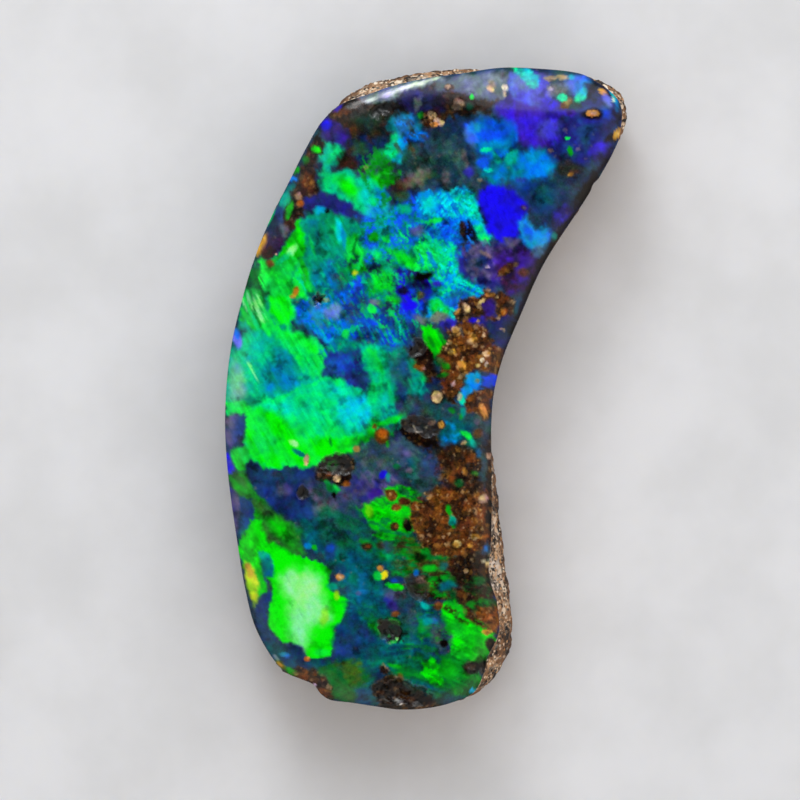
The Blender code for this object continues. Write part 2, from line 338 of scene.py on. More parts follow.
def stone_rings(outline):
    """The loft's rings below the polished face, each point's share of the way up, and the face's edge."""
    xy, lip, roll = outline[:, :2], outline[:, 2], outline[:, 3]
    into = inward(xy)
    edge = np.column_stack([xy + into * lip[:, None], lip, roll])
    edge_z = face_height(edge[:, :2], edge)
    belly_z = BELLY_Z + BELLY_WANDER * ruggedness(xy * LONG_WAVES, BELLY_LEVEL)
    lipped = np.clip(lip / FULL_LIP, 0, 1)
    carving = UNDERCUT * (1 - lipped) + LIP_RELIEF * lipped

    def ring(inset, z):
        return np.column_stack([xy + into * inset[:, None], np.broadcast_to(z, len(xy))])

    def carved(z, depth):
        coarse = carving * depth * (1 + ruggedness(xy, z)) / 2
        grain = np.clip(GRAIN_LIFT + relief(xy, z, GRAIN_LENGTH, GRAIN_OCTAVES), 0, GRAIN_MOST)
        return coarse + GRAIN_DEPTH * min(1.0, GRAIN_ONSET * depth) * grain

    rings, shares = [], []
    belly_inset = carved(belly_z, WALL_SECTION[0][2])
    bevel = BACK_BEVEL + BEVEL_WANDER * ruggedness(xy, BEVEL_LEVEL)
    heights, to_come = np.array(BACK_SECTION).T
    for height in np.linspace(0, 1, BEVEL_ROWS, endpoint=False):
        still = np.interp(height, heights, to_come)
        chips = relief(xy, CHIP_LEVEL + height, GRAIN_LENGTH, GRAIN_OCTAVES)
        chips = GRAIN_DEPTH * min(1.0, CHIP_ONSET * height) * chips
        rings.append(ring(belly_inset + bevel * still + chips, belly_z * height))
        shares.append(height - 1)
    rows, come_ins, depths = np.array(WALL_SECTION).T
    for share in np.linspace(0, 1, WALL_ROWS):
        z = belly_z + share * (edge_z - belly_z)
        inset = lip * np.interp(share, rows, come_ins) + carved(z, np.interp(share, rows, depths))
        rings.append(ring(inset, z))
        shares.append(share)
    return rings, shares, edge, into


def well_inside(xy, ring, clearance):
    """The points that lie inside the closed ring, at least clearance from it."""
    kept = []
    after = np.roll(ring, -1, axis=0)
    rise = np.where(after[:, 1] == ring[:, 1], 1, after[:, 1] - ring[:, 1])
    for start in range(0, len(xy), CHUNK):
        part = xy[start : start + CHUNK]
        x, y = part[:, :1], part[:, 1:]
        spans = (ring[:, 1] > y) != (after[:, 1] > y)
        crossing = ring[:, 0] + (y - ring[:, 1]) / rise * (after[:, 0] - ring[:, 0])
        within = np.count_nonzero(spans & (crossing > x), axis=1) % 2 == 1
        clear = np.hypot(ring[:, 0] - x, ring[:, 1] - y).min(axis=1) > clearance
        kept.append(part[within & clear])
    return np.vstack(kept)


def triangular_grid(ring, spacing):
    """Points of a triangular grid over the ring's box, each nudged so that no row shows."""
    low, high = ring.min(axis=0), ring.max(axis=0)
    row_step = spacing * math.sqrt(3) / 2
    columns = np.arange(low[0], high[0], spacing)
    rows = [
        [(x + 0.5 * spacing * (row % 2), low[1] + row * row_step) for x in columns]
        for row in range(math.ceil((high[1] - low[1]) / row_step))
    ]
    grid = np.array(rows).reshape(-1, 2)
    nudge = np.random.default_rng(NUDGE_SEED).uniform(-GRID_NUDGE, GRID_NUDGE, grid.shape)
    return grid + spacing * nudge


def cap_faces(flat, rim_count):
    """Triangles over a closed rim, whose points come first, through the points inside it."""
    border = [(i, (i + 1) % rim_count) for i in range(rim_count)]
    return np.array(delaunay_2d_cdt([Vector(point) for point in flat], border, [], 1, WELD)[2])


# The colours of the face

PALETTE = {
    "black": (13, 10, 9), "ink": (20, 20, 36), "umber": (44, 30, 22), "brown": (84, 48, 22),
    "rust": (116, 64, 24), "tan": (168, 138, 112), "amber": (206, 146, 58), "cream": (222, 190, 140),
    "bone": (226, 214, 204), "orange": (182, 96, 24), "yellow": (240, 232, 30), "lime": (150, 214, 24),
    "olive": (88, 104, 22), "moss": (44, 92, 44), "forest": (10, 98, 40), "leaf": (16, 158, 28),
    "green": (14, 240, 10), "spring": (20, 226, 74), "jade": (8, 204, 122), "mint": (150, 255, 156),
    "turquoise": (8, 212, 172), "sea": (10, 160, 134), "teal": (12, 104, 112), "deep_teal": (12, 80, 92),
    "cyan": (8, 196, 214), "sky": (34, 142, 220), "azure": (8, 128, 228), "cobalt": (20, 78, 214),
    "ultramarine": (30, 22, 240), "violet": (54, 36, 200), "purple": (56, 30, 140), "plum": (46, 30, 66),
    "indigo": (34, 38, 112), "navy": (28, 60, 112), "midnight": (20, 38, 76), "slate": (40, 68, 84),
    "grey": (108, 114, 118), "mauve": (92, 84, 124), "lavender": (118, 132, 198),
    # Painted light: the milky and hazy greys below are painted sheen and the near white a painted highlight
    # of the polished edge
    "periwinkle": (108, 126, 222), "milk": (146, 156, 164), "pine": (14, 60, 46), "sage": (72, 100, 84),
    # The smoky grey is painted sheen along the top edge and the opal's own grey cloud in the middle of the
    # face
    "smoke": (82, 96, 116), "haze": (120, 134, 150), "glint": (206, 214, 218), "bluebell": (76, 98, 208),
    "kelp": (12, 132, 84), "seafoam": (14, 184, 140), "abyss": (20, 44, 60), "glow": (128, 255, 146),
    "sulphur": (204, 220, 40),
}

# Length of the broad blotches of every texture
BROAD_NOISE = 0.80
# Which way each texture runs, in degrees, how long and wide its marks are, in millimetres, and how bold
STREAKS = {
    "steep": (-62, 1.30, 0.090, 1.0), "slant": (-40, 1.00, 0.085, 1.0), "shallow": (-24, 1.00, 0.080, 1.0),
    "level": (-8, 0.80, 0.090, 1.0), "upright": (-86, 0.9, 0.080, 1.0),
    "brushed": (-24, 0.90, 0.100, 2.2), "rays": (-64, 1.50, 0.110, 2.0), "fanned": (35, 0.60, 0.100, 2.0),
}

# Speckled textures: length of the specks, the shares of specks and of broad blotches in the second colour,
# where it sets in and is whole, and how much lighter the specks are
SPECKLES = {
    "grainy": (0.22, 0.6, 0.7, -0.5, 0.5, 0.28), "patchy": (0.28, 0.4, 0.8, -0.5, 0.6, 0.20),
    "plain": (0.40, 0.2, 0.9, -0.6, 0.8, 0.08),
}

# The opal's own fine streaks: degrees turned, how far they swing over the face, and where they do
STREAK_DEGREES, STREAK_SWING = -62, 38
SWING_SLANT, SWING_FROM, SWING_TO = 0.35, -1.5, 4.0
# How outlines are broken: waves, ripples, and combs along the streaks as strength, length, width and seed
WAVE_SHARE, WAVE_LENGTH = 0.70, 0.50
RIPPLE_SHARE, RIPPLE_LENGTH = 0.22, 0.15
COMBS = ((0.45, 0.60, 0.11, 31), (0.18, 0.30, 0.06, 32))
CRUMBLE_LENGTH = 0.19
CRUMBLE_RAGGED, CRUMBLE_SOFT, CRUMBLE_MOST = 0.12, 0.30, 0.2
PATCH_MARGIN = 0.6
# Crumbs strewn along the streaks: how much longer than wide they are, their size, and how much of them shows
CRUMB_STRETCH, CRUMB_BEND, CRUMB_LENGTH = 1.7, 0.3, 0.22
CRUMB_FROM, CRUMB_TO = 0.05, 0.60

# The finish over the whole face: lengths of its mottling, in millimetres
MOTTLE_LENGTH, FINE_LENGTH, GAP_LENGTH, HUE_LENGTH = 0.55, 0.13, 0.42, 0.42
WARM_LENGTH, SHADE_LENGTH, SPECK_SIZE, SPECK_SPREAD = 0.17, 0.24, 0.24, 1.1
FINE_STREAK = (0.8, 0.09)
MEAN_LIGHT, LEAST_LIGHT, MOST_LIGHT = 1.04, 0.25, 1.7
# Sand grains in the face's ironstone: size, seed and how rare they are
FACE_GRAINS = ((0.34, 221, 0.80), (0.19, 231, 0.72), (0.11, 241, 0.66))
CREAM_FROM, AMBER_FROM = 0.93, 0.85


# Each octave of noise: how far it is shifted and turned from the last, and how much finer and weaker it is
OCTAVE_SHIFT_X, OCTAVE_SHIFT_Y, TURN_COS, TURN_SIN = 17.3, -9.1, 0.777, 0.629
FINER, WEAKER, FULL_SWING = 2.03, 0.62, 1.35
# Streaks: how far they sway and over what length, the shares of the coarse and the fine ones, and how much
# shorter and thinner the fine ones are
SWAY, SWAY_LENGTH = 0.10, 2.2
COARSE_SHARE, FINE_SHARE, SHORTER, THINNER = 0.62, 0.48, 1.7, 2.3
# Scattered points keep this far off the sides of their cells, as a share of a cell
CELL_MARGIN, CELL_ROOM = 0.15, 0.7


def lattice(x, y, seed):
    """Smooth noise from -1 to 1 at points, one bump to a unit."""
    cell_x, cell_y = np.floor(x), np.floor(y)
    u, v = x - cell_x, y - cell_y
    u, v = u * u * u * (u * (6 * u - 15) + 10), v * v * v * (v * (6 * v - 15) + 10)

    def corner(i, j):
        return chance(cell_x + i, cell_y + j, seed)

    low = corner(0, 0) * (1 - u) + corner(1, 0) * u
    high = corner(0, 1) * (1 - u) + corner(1, 1) * u
    return 2 * (low * (1 - v) + high * v) - 1


def chance(i, j, seed):
    """A fixed random number from 0 to 1 for each whole-numbered cell."""
    mixed = (i.astype(np.int64) * 73856093) ^ (j.astype(np.int64) * 19349663) ^ np.int64(seed * 83492791)
    mixed = (mixed ^ (mixed >> 13)) * 1274126177
    mixed = (mixed ^ (mixed >> 16)) * 2246822519
    return ((mixed ^ (mixed >> 15)) & 0xFFFFFF) / float(0x1000000)


def rough_noise(x, y, length, seed, octaves=3):
    """Fractal noise from about -1 to 1, with bumps of the given length."""
    total, size, weight = 0.0, length, 1.0
    for octave in range(octaves):
        shifted_x, shifted_y = x / size + OCTAVE_SHIFT_X * octave, y / size + OCTAVE_SHIFT_Y * octave
        total = total + weight * lattice(shifted_x, shifted_y, seed + octave)
        # The next octave's cells are turned, so that no bumps line up with the axes
        x, y = TURN_COS * x - TURN_SIN * y, TURN_SIN * x + TURN_COS * y
        size, weight = size / FINER, weight * WEAKER
    return total / FULL_SWING


def along_streaks(x, y, degrees, length, width, seed):
    """Noise drawn out into streaks in one direction, from about -1 to 1."""
    cos, sin = math.cos(math.radians(degrees)), math.sin(math.radians(degrees))
    sway = SWAY * rough_noise(x, y, SWAY_LENGTH, seed + 5, 1)
    u, v = (x * cos + y * sin) / length, (y * cos - x * sin + sway) / width
    return COARSE_SHARE * lattice(u, v, seed) + FINE_SHARE * lattice(u * SHORTER, v * THINNER, seed + 1)


def cells(x, y, size, seed):
    """Distance to the nearest scattered point, as a share of size, and that point's own random number."""
    px, py = x / size, y / size
    home_x, home_y = np.floor(px), np.floor(py)
    nearest = np.full(len(x), 9.0)
    own = np.zeros(len(x))
    for i in (-1, 0, 1):
        for j in (-1, 0, 1):
            cx, cy = home_x + i, home_y + j
            dx = cx + CELL_MARGIN + CELL_ROOM * chance(cx, cy, seed) - px
            dy = cy + CELL_MARGIN + CELL_ROOM * chance(cx, cy, seed + 1) - py
            away = np.hypot(dx, dy)
            closer = away < nearest
            nearest = np.where(closer, away, nearest)
            own = np.where(closer, chance(cx, cy, seed + 2), own)
    return nearest, own


def step(value, low, high):
    """Smooth step from 0 at low to 1 at high."""
    t = np.clip((value - low) / (high - low), 0, 1)
    return t * t * (3 - 2 * t)


def texture(kind, x, y, seed):
    """Share of a field's second colour at points, from 0 to 1, and how light it is there, about 1."""
    broad = rough_noise(x, y, BROAD_NOISE, seed, 3)
    if kind in STREAKS:
        degrees, length, width, bold = STREAKS[kind]
        fine = along_streaks(x, y, degrees, length, width, seed)
        wide = along_streaks(x, y, degrees, 1.9 * length, 3.4 * width, seed + 7)
        shows = step(rough_noise(x, y, 0.7, seed + 3), -0.5, 0.5)
        return step(0.7 * wide + 0.5 * broad, -0.75, 0.75), 1 + bold * shows * (0.16 * fine + 0.12 * wide)
    if kind == "weave":
        # Short strokes that cross
        one = along_streaks(x, y, -24, 0.5, 0.09, seed)
        two = along_streaks(x, y, 48, 0.4, 0.10, seed + 7)
        strokes = np.maximum(one, two)
        return step(0.9 * (one - two) + 0.6 * broad, -0.6, 0.6), 0.94 + 0.40 * strokes
    if kind == "rings":
        wobble = 0.07 * rough_noise(x, y, 0.15, seed + 4, 2)
        away, own = cells(x + wobble, y - wobble, 0.33, seed)
        ring = 1 - step(np.abs(away - 0.20 - 0.22 * own), 0.04, 0.22)
        speckle = rough_noise(x, y, 0.15, seed, 3)
        shown = step(rough_noise(x, y, 0.8, seed + 9, 2), -0.3, 0.3)
        light = 1 + 0.32 * speckle + 0.30 * shown * (0.4 - ring)
        return step(0.8 * speckle + 0.7 * broad + 0.4 * shown * (0.5 - ring), -0.45, 0.45), light
    length, speck_share, broad_share, low, high, lighter = SPECKLES.get(kind, SPECKLES["plain"])
    fine = rough_noise(x, y, length, seed + 2, 2)
    return step(speck_share * fine + broad_share * broad, low, high), 1 + lighter * fine


def signed_depth(x, y, corners):
    """How deep points lie inside a polygon, negative outside."""
    best, within = np.full(len(x), 1e9), np.zeros(len(x), bool)
    for (ax, ay), (bx, by) in zip(corners, np.roll(corners, -1, axis=0)):
        ex, ey = bx - ax, by - ay
        t = np.clip(((x - ax) * ex + (y - ay) * ey) / (ex * ex + ey * ey), 0, 1)
        best = np.minimum(best, np.hypot(x - ax - t * ex, y - ay - t * ey))
        if ay != by:
            within ^= ((ay > y) != (by > y)) & (x < ax + (y - ay) / ey * ex)
    return np.where(within, best, -best)


class Canvas:
    """Colours and masks at points of the stone, in millimetres."""

    def __init__(self, x, y):
        # Outlines are combed out along the way that the opal's fine streaks run there
        swung = step(x - SWING_SLANT * y, SWING_FROM, SWING_TO)
        turned = np.radians(STREAK_DEGREES + STREAK_SWING * swung)
        cos, sin = np.cos(turned), np.sin(turned)
        u, v = x * cos + y * sin, y * cos - x * sin
        comb = sum(share * lattice(u / length, v / width, seed) for share, length, width, seed in COMBS)

        def wave(seed, along):
            ripple = RIPPLE_SHARE * lattice(x / RIPPLE_LENGTH, y / RIPPLE_LENGTH, seed + 1)
            return WAVE_SHARE * rough_noise(x, y, WAVE_LENGTH, seed, 2) + ripple + comb * along

        self.x, self.y = x, y
        self.wave_x, self.wave_y = wave(11, cos), wave(21, sin)
        self.crumble = rough_noise(x, y, CRUMBLE_LENGTH, 13, 2)
        self.streak_u, self.streak_v = u, v
        self.colour = np.tile(tone("slate"), (len(x), 1))
        self.rock = np.zeros(len(x))

    def near(self, low, high, margin):
        """Which points lie in a box."""
        return np.flatnonzero(
            (self.x > low[0] - margin) & (self.x < high[0] + margin)
            & (self.y > low[1] - margin) & (self.y < high[1] + margin)
        )

    def lay(self, at, share, colour):
        self.colour[at] += (colour - self.colour[at]) * share[:, None]

    def field(self, first, second, kind, soft, ragged, rocky, strength, corners, seed):
        """A patch with an outline of its own, textured in two colours."""
        at = self.near(corners.min(axis=0), corners.max(axis=0), PATCH_MARGIN)
        x, y = self.x[at], self.y[at]
        depth = signed_depth(x + ragged * self.wave_x[at], y + ragged * self.wave_y[at], corners)
        depth = depth + (CRUMBLE_RAGGED * ragged + CRUMBLE_SOFT * min(soft, CRUMBLE_MOST)) * self.crumble[at]
        share = strength * step(depth, -0.55 * soft, 0.55 * soft)
        if kind == "crumbs":
            along = self.streak_u[at] / CRUMB_STRETCH + CRUMB_BEND * self.wave_x[at]
            crumbs = rough_noise(along, self.streak_v[at], CRUMB_LENGTH, seed + 61, 3)
            share = share * step(crumbs, CRUMB_FROM, CRUMB_TO)
        mixed, light = texture(kind, x, y, seed)
        mixed = mixed[:, None]
        self.lay(at, share, (tone(first) * (1 - mixed) + tone(second) * mixed) * light[:, None])
        self.rock[at] += (rocky - self.rock[at]) * share

    def blob(self, name, bx, by, half_length, half_width, degrees, soft, ragged, rocky, strength):
        """An oval spot."""
        at = self.near((bx, by), (bx, by), max(half_length, half_width) * (1 + soft) + 2 * ragged)
        cos, sin = math.cos(math.radians(degrees)), math.sin(math.radians(degrees))
        east = self.x[at] + ragged * self.wave_x[at] - bx
        north = self.y[at] + ragged * self.wave_y[at] - by
        away = np.hypot((east * cos + north * sin) / half_length, (north * cos - east * sin) / half_width)
        share = strength * step(1 + soft / 2 - away, 0, soft)
        self.lay(at, share, tone(name))
        self.rock[at] += (rocky - self.rock[at]) * share


def tone(name):
    return np.array(PALETTE[name], float) / 255


def finish_canvas(canvas):
    """Mottling over the whole face: shifts of hue and light, fine streaks, and the grain of the ironstone."""
    x, y, colour, rock = canvas.x, canvas.y, canvas.colour, canvas.rock
    mottle = rough_noise(x, y, MOTTLE_LENGTH, 201, 4)
    fine = rough_noise(x, y, FINE_LENGTH, 203, 2)
    streak = lattice(canvas.streak_u / FINE_STREAK[0], canvas.streak_v / FINE_STREAK[1], 207)
    bright = step(colour.max(axis=1), 0.60, 0.95)
    light = MEAN_LIGHT + (0.15 - 0.06 * bright) * mottle + (0.09 - 0.06 * bright + 0.18 * rock) * fine
    light = light + 0.07 * (1 - rock) * streak
    # Small dark gaps, where the mottling runs low
    gaps = step(-rough_noise(x, y, GAP_LENGTH, 209, 3) - 0.5 * mottle, 0.25, 1.05)
    light = light * (1 - (0.34 - 0.20 * bright) * gaps)
    # Where hue is positive the colour leans to green, and elsewhere to blue
    hue = 0.15 * rough_noise(x, y, HUE_LENGTH, 211, 3)
    colour[:, 1] *= 1 + 0.7 * hue
    colour[:, 2] *= 1 - 1.3 * hue
    colour *= np.clip(light, LEAST_LIGHT, MOST_LIGHT)[:, None]
    # Warm specks of ironstone seen through the opal
    dim = 1 - step(colour.max(axis=1), 0.25, 0.60)
    warm = rough_noise(x, y, WARM_LENGTH, 219, 2) * dim * (1 - 0.6 * rock)
    colour[:, 0] = colour[:, 0] * (1 + 0.20 * warm) + 0.030 * np.clip(warm, 0, 1)
    colour[:, 1] *= 1 - 0.10 * warm
    # Pale specks, seen where the ground is dark
    away, own = cells(x, y, SPECK_SIZE, 215)
    speck = (own > 0.88) * (1 - step(away, 0.10, 0.30)) * (1 - step(colour.max(axis=1), 0.35, 0.75))
    speck = speck * step(rough_noise(x, y, SPECK_SPREAD, 217, 2), -0.1, 0.4)
    colour += (tone("tan") - colour) * (0.34 * own * speck)[:, None]
    # Ironstone: sand grains of mixed sizes in a dark ground
    for size, seed, rare in FACE_GRAINS:
        away, own = cells(x + 0.2 * size * fine, y - 0.2 * size * fine, size, seed)
        grain = (own > rare) * (1 - step(away, 0.16 + 0.1 * own, 0.42)) * rock
        sandy = np.where((own > AMBER_FROM)[:, None], tone("amber"), tone("rust"))
        sandy = np.where((own > CREAM_FROM)[:, None], tone("cream"), sandy)
        colour += (sandy * (0.55 + 0.45 * own[:, None]) - colour) * (0.55 * grain)[:, None]
    shade = step(rough_noise(x, y, SHADE_LENGTH, 251, 4), 0.05, 0.6) * rock
    colour *= (1 - 0.6 * shade)[:, None]


# The patches of the face, in the order they are laid

# Lengths in these two tables are in hundredths of a millimetre, and shares in hundredths. A patch has two
# colours, their texture, the softness and raggedness of its outline, rockiness, strength and its corners, x
# and y in turn
PATCHES = [
    # The dark ground
    ("slate", "midnight", "plain", 8, 0, 0, 100, [-905, 1394, 935, 1394, 935, -1406, -905, -1406]),
    # Top left
    ("umber", "black", "patchy", 20, 16, 30, 100, [-433, 1018, -361, 1130, -297, 1154, -125, 1154, -97,
        1202, 55, 1222, 175, 1210, 311, 1162, 223, 1098, 55, 1082, -25, 1098, -105, 1066, -217, 1058, -325,
        1042]),
    ("indigo", "ink", "patchy", 32, 16, 0, 90, [-105, 1186, -9, 1210, 71, 1186, 79, 1114, -1, 1090, -73,
        1106, -113, 1146]),
    ("purple", "indigo", "patchy", 20, 16, 0, 100, [-425, 1066, -377, 1078, -317, 1046, -281, 990, -325,
        954, -385, 990, -421, 1018]),
    ("midnight", "umber", "patchy", 36, 24, 0, 100, [-325, 1074, -217, 1090, -137, 1058, -153, 994, -177,
        938, -205, 882, -305, 858, -373, 882, -365, 922, -325, 954, -305, 994]),
    ("jade", "seafoam", "plain", 24, 16, 0, 100, [-441, 982, -385, 994, -341, 970, -329, 942, -361, 918,
        -381, 894, -385, 858, -325, 874, -281, 842, -217, 850, -169, 802, -149, 754, -153, 698, -193, 678,
        -257, 694, -297, 722, -345, 750, -401, 782, -425, 834, -421, 894, -441, 934]),
    ("azure", "sky", "plain", 40, 12, 0, 90, [-233, 778, -169, 802, -145, 746, -153, 690, -201, 674, -249,
        706]),
    ("jade", "seafoam", "plain", 24, 12, 0, 100, [-177, 946, -153, 994, -121, 1030, -93, 1018, -89, 986,
        -105, 938, -121, 906, -153, 910]),
    ("azure", "cyan", "plain", 20, 12, 0, 100, [-105, 1002, -77, 1026, -65, 994, -81, 946, -109, 898, -137,
        902, -109, 946]),
    ("teal", "sky", "plain", 20, 16, 0, 100, [-145, 1074, -105, 1106, -49, 1098, -17, 1066, -25, 1034, -73,
        1010, -121, 1018, -153, 1034]),
    ("cobalt", "azure", "patchy", 16, 12, 0, 100, [-89, 1018, -41, 1038, 7, 1018, 7, 990, -49, 982, -89,
        982]),
    ("leaf", "slate", "rings", 20, 16, 0, 100, [-249, 890, -225, 918, -165, 922, -129, 890, -105, 850, -129,
        814, -185, 814, -233, 842]),
    ("abyss", "slate", "plain", 48, 16, 0, 100, [-93, 946, -33, 986, 23, 1022, 79, 1018, 143, 994, 191, 946,
        203, 874, 191, 802, 115, 794, 39, 810, -9, 794, -57, 818, -97, 874]),
    ("moss", "abyss", "patchy", 40, 20, 0, 40, [-89, 954, -41, 970, -17, 922, 39, 898, 23, 850, -49, 866,
        -89, 906]),
    ("sage", "umber", "patchy", 24, 16, 0, 85, [-149, 794, -121, 842, -57, 850, -17, 886, 19, 882, 19, 850,
        -25, 818, -73, 794, -97, 754, -137, 770]),
    ("umber", "black", "patchy", 16, 16, 30, 100, [-433, 1018, -401, 986, -433, 914, -441, 850, -417, 786,
        -481, 722, -521, 658, -553, 602, -577, 658, -561, 730, -537, 794, -505, 874, -473, 954]),
    ("indigo", "midnight", "plain", 20, 12, 0, 100, [-489, 766, -417, 786, -353, 766, -297, 730, -257, 694,
        -305, 686, -365, 702, -433, 710, -489, 714]),
    # Left, upper half
    ("sea", "kelp", "steep", 24, 20, 0, 100, [-505, 666, -425, 718, -325, 694, -265, 666, -233, 594, -225,
        506, -249, 442, -305, 410, -385, 402, -457, 378, -505, 338, -553, 218, -657, 186, -745, 234, -753,
        314, -713, 426, -673, 506, -585, 546, -545, 594]),
    ("green", "leaf", "steep", 16, 16, 0, 100, [-541, 610, -513, 666, -481, 610, -489, 538, -533, 490, -581,
        466, -633, 482, -585, 538]),
    ("leaf", "spring", "steep", 24, 20, 0, 100, [-681, 506, -605, 522, -505, 514, -449, 434, -481, 338,
        -561, 314, -625, 362, -673, 434]),
    ("green", "spring", "rays", 20, 16, 0, 100, [-633, 362, -545, 370, -493, 330, -529, 274, -585, 258,
        -625, 298]),
    ("teal", "sea", "plain", 32, 20, 0, 90, [-481, 666, -417, 674, -401, 602, -449, 570, -489, 602]),
    ("azure", "teal", "steep", 40, 20, 0, 75, [-457, 506, -369, 498, -329, 418, -385, 378, -457, 402]),
    ("leaf", "spring", "steep", 24, 16, 0, 100, [-329, 602, -281, 618, -233, 522, -233, 442, -297, 442,
        -325, 506]),
    ("pine", "forest", "steep", 16, 12, 0, 100, [-721, 482, -677, 482, -625, 386, -657, 346, -721, 378]),
    ("spring", "forest", "rays", 16, 16, 0, 100, [-749, 282, -721, 386, -697, 402, -669, 394, -633, 290,
        -613, 218, -657, 210]),
    # Middle, upper half
    ("sea", "cobalt", "rings", 32, 20, 0, 100, [-273, 686, -161, 702, -73, 762, -9, 730, -1, 642, -25, 570,
        -97, 530, -153, 498, -233, 498, -257, 594]),
    ("spring", "teal", "fanned", 20, 20, 0, 100, [-173, 562, -85, 554, -5, 550, 31, 506, 23, 458, -57, 470,
        -125, 486, -169, 518]),
    ("cyan", "azure", "weave", 20, 20, 0, 100, [-33, 754, 15, 794, 79, 786, 143, 810, 191, 786, 215, 734,
        223, 682, 247, 642, 271, 586, 231, 570, 191, 622, 159, 666, 95, 666, 47, 642, -9, 666, -37, 706]),
    ("turquoise", "cyan", "weave", 28, 16, 0, 100, [103, 770, 167, 786, 207, 738, 215, 690, 175, 678, 119,
        690, 95, 722]),
    ("turquoise", "spring", "grainy", 16, 12, 0, 100, [191, 650, 223, 642, 263, 594, 239, 570, 207, 602]),
    ("azure", "cobalt", "weave", 24, 20, 0, 100, [-25, 658, 47, 650, 119, 666, 135, 602, 103, 562, 47, 578,
        -9, 602]),
    ("jade", "cyan", "weave", 28, 24, 0, 100, [-57, 602, -5, 634, 75, 586, 127, 554, 143, 474, 119, 410, 63,
        386, 15, 434, -9, 506]),
    ("leaf", "spring", "weave", 28, 16, 0, 90, [-49, 578, 15, 586, 55, 522, 55, 450, 15, 442, -9, 506]),
    ("ink", "black", "plain", 12, 12, 0, 100, [139, 670, 167, 670, 203, 626, 191, 590, 151, 598, 131, 634]),
    ("indigo", "mauve", "patchy", 32, 24, 0, 100, [127, 566, 195, 594, 263, 574, 375, 610, 455, 546, 439,
        454, 375, 394, 295, 394, 215, 402, 155, 442, 123, 506]),
    ("plum", "purple", "patchy", 32, 20, 0, 100, [271, 554, 375, 570, 475, 554, 487, 506, 415, 394, 315,
        370, 271, 450]),
    ("ultramarine", "ultramarine", "plain", 28, 12, 0, 100, [211, 786, 255, 826, 315, 810, 367, 786, 411,
        734, 391, 666, 359, 610, 295, 590, 255, 622, 231, 690, 207, 742]),
    ("violet", "purple", "plain", 36, 16, 0, 100, [271, 1122, 335, 1178, 455, 1154, 555, 1138, 615, 1090,
        575, 1010, 487, 954, 407, 970, 355, 1002, 315, 1050]),
    ("indigo", "navy", "patchy", 32, 24, 0, 100, [527, 1074, 647, 1154, 751, 1130, 783, 1066, 771, 974, 719,
        894, 635, 834, 555, 866, 487, 930, 519, 1002]),
    ("midnight", "slate", "plain", 48, 20, 0, 100, [399, 826, 495, 858, 595, 894, 711, 922, 687, 826, 635,
        738, 575, 642, 519, 594, 447, 642, 415, 730, 367, 786]),
    ("azure", "cobalt", "plain", 32, 12, 0, 100, [159, 1050, 239, 1082, 327, 1078, 367, 1018, 351, 954, 295,
        906, 235, 922, 191, 962, 159, 1002]),
    ("azure", "teal", "plain", 40, 16, 0, 100, [215, 914, 295, 902, 375, 942, 407, 966, 475, 954, 527, 894,
        495, 846, 415, 834, 335, 834, 263, 818, 215, 858]),
    ("azure", "sky", "plain", 24, 12, 0, 100, [371, 666, 403, 690, 431, 638, 479, 646, 527, 610, 495, 554,
        447, 522, 399, 566, 371, 610]),
    # Top right
    # Along the top edge, the grey and milky patches are painted reflection, the sheen of the lamps in the
    # rounded edge, and the two pale blue patches are violet and blue lightened by the same painted sheen
    ("smoke", "smoke", "plain", 16, 8, 0, 95, [31, 1218, 75, 1242, 127, 1254, 207, 1266, 323, 1274, 335,
        1250, 327, 1194, 311, 1162, 263, 1158, 199, 1162, 143, 1174, 87, 1186, 47, 1182]),
    ("haze", "smoke", "plain", 20, 8, 0, 95, [175, 1226, 223, 1246, 279, 1258, 327, 1266, 331, 1194, 315,
        1158, 255, 1154, 191, 1170, 159, 1190]),
    ("haze", "milk", "plain", 16, 8, 0, 80, [-273, 1158, -217, 1186, -137, 1210, -57, 1230, 23, 1246, 83,
        1254, 79, 1234, 15, 1218, -57, 1198, -113, 1174, -169, 1150, -233, 1138]),
    ("bluebell", "violet", "plain", 20, 8, 0, 95, [331, 1266, 415, 1266, 491, 1258, 507, 1174, 491, 1130,
        415, 1138, 355, 1162, 327, 1194]),
    ("cyan", "turquoise", "grainy", 12, 12, 0, 100, [351, 1290, 407, 1282, 447, 1246, 443, 1202, 415, 1198,
        391, 1234, 355, 1254]),
    ("bluebell", "azure", "plain", 20, 12, 0, 90, [559, 1258, 631, 1258, 663, 1218, 639, 1170, 583, 1178,
        551, 1218]),
    ("ink", "indigo", "patchy", 20, 12, 0, 90, [639, 1218, 703, 1218, 759, 1170, 783, 1082, 759, 1050, 719,
        1106, 671, 1138, 631, 1162]),
    # Middle
    ("azure", "cobalt", "rings", 32, 20, 0, 100, [-529, 354, -425, 366, -325, 394, -249, 370, -233, 254,
        -297, 202, -385, 186, -457, 226, -521, 282]),
    ("cobalt", "navy", "grainy", 36, 20, 0, 100, [-321, 418, -249, 450, -217, 354, -137, 306, -57, 266, -57,
        178, -137, 162, -225, 178, -289, 210, -321, 314]),
    ("spring", "teal", "rings", 16, 16, 0, 100, [-249, 446, -169, 490, -113, 434, -121, 354, -185, 334,
        -237, 366]),
    ("indigo", "ultramarine", "patchy", 24, 20, 0, 100, [-145, 474, -57, 470, 39, 450, 31, 354, -45, 322,
        -105, 346, -145, 394]),
    ("cobalt", "ultramarine", "patchy", 24, 16, 0, 100, [-133, 346, -73, 362, -9, 338, -9, 282, -81, 258,
        -137, 290]),
    ("azure", "turquoise", "weave", 28, 20, 0, 100, [15, 402, 95, 450, 199, 434, 247, 386, 199, 346, 135,
        330, 103, 274, 55, 258, 7, 290]),
    ("spring", "sea", "rings", 16, 12, 0, 100, [7, 346, 55, 362, 95, 314, 87, 282, 31, 282]),
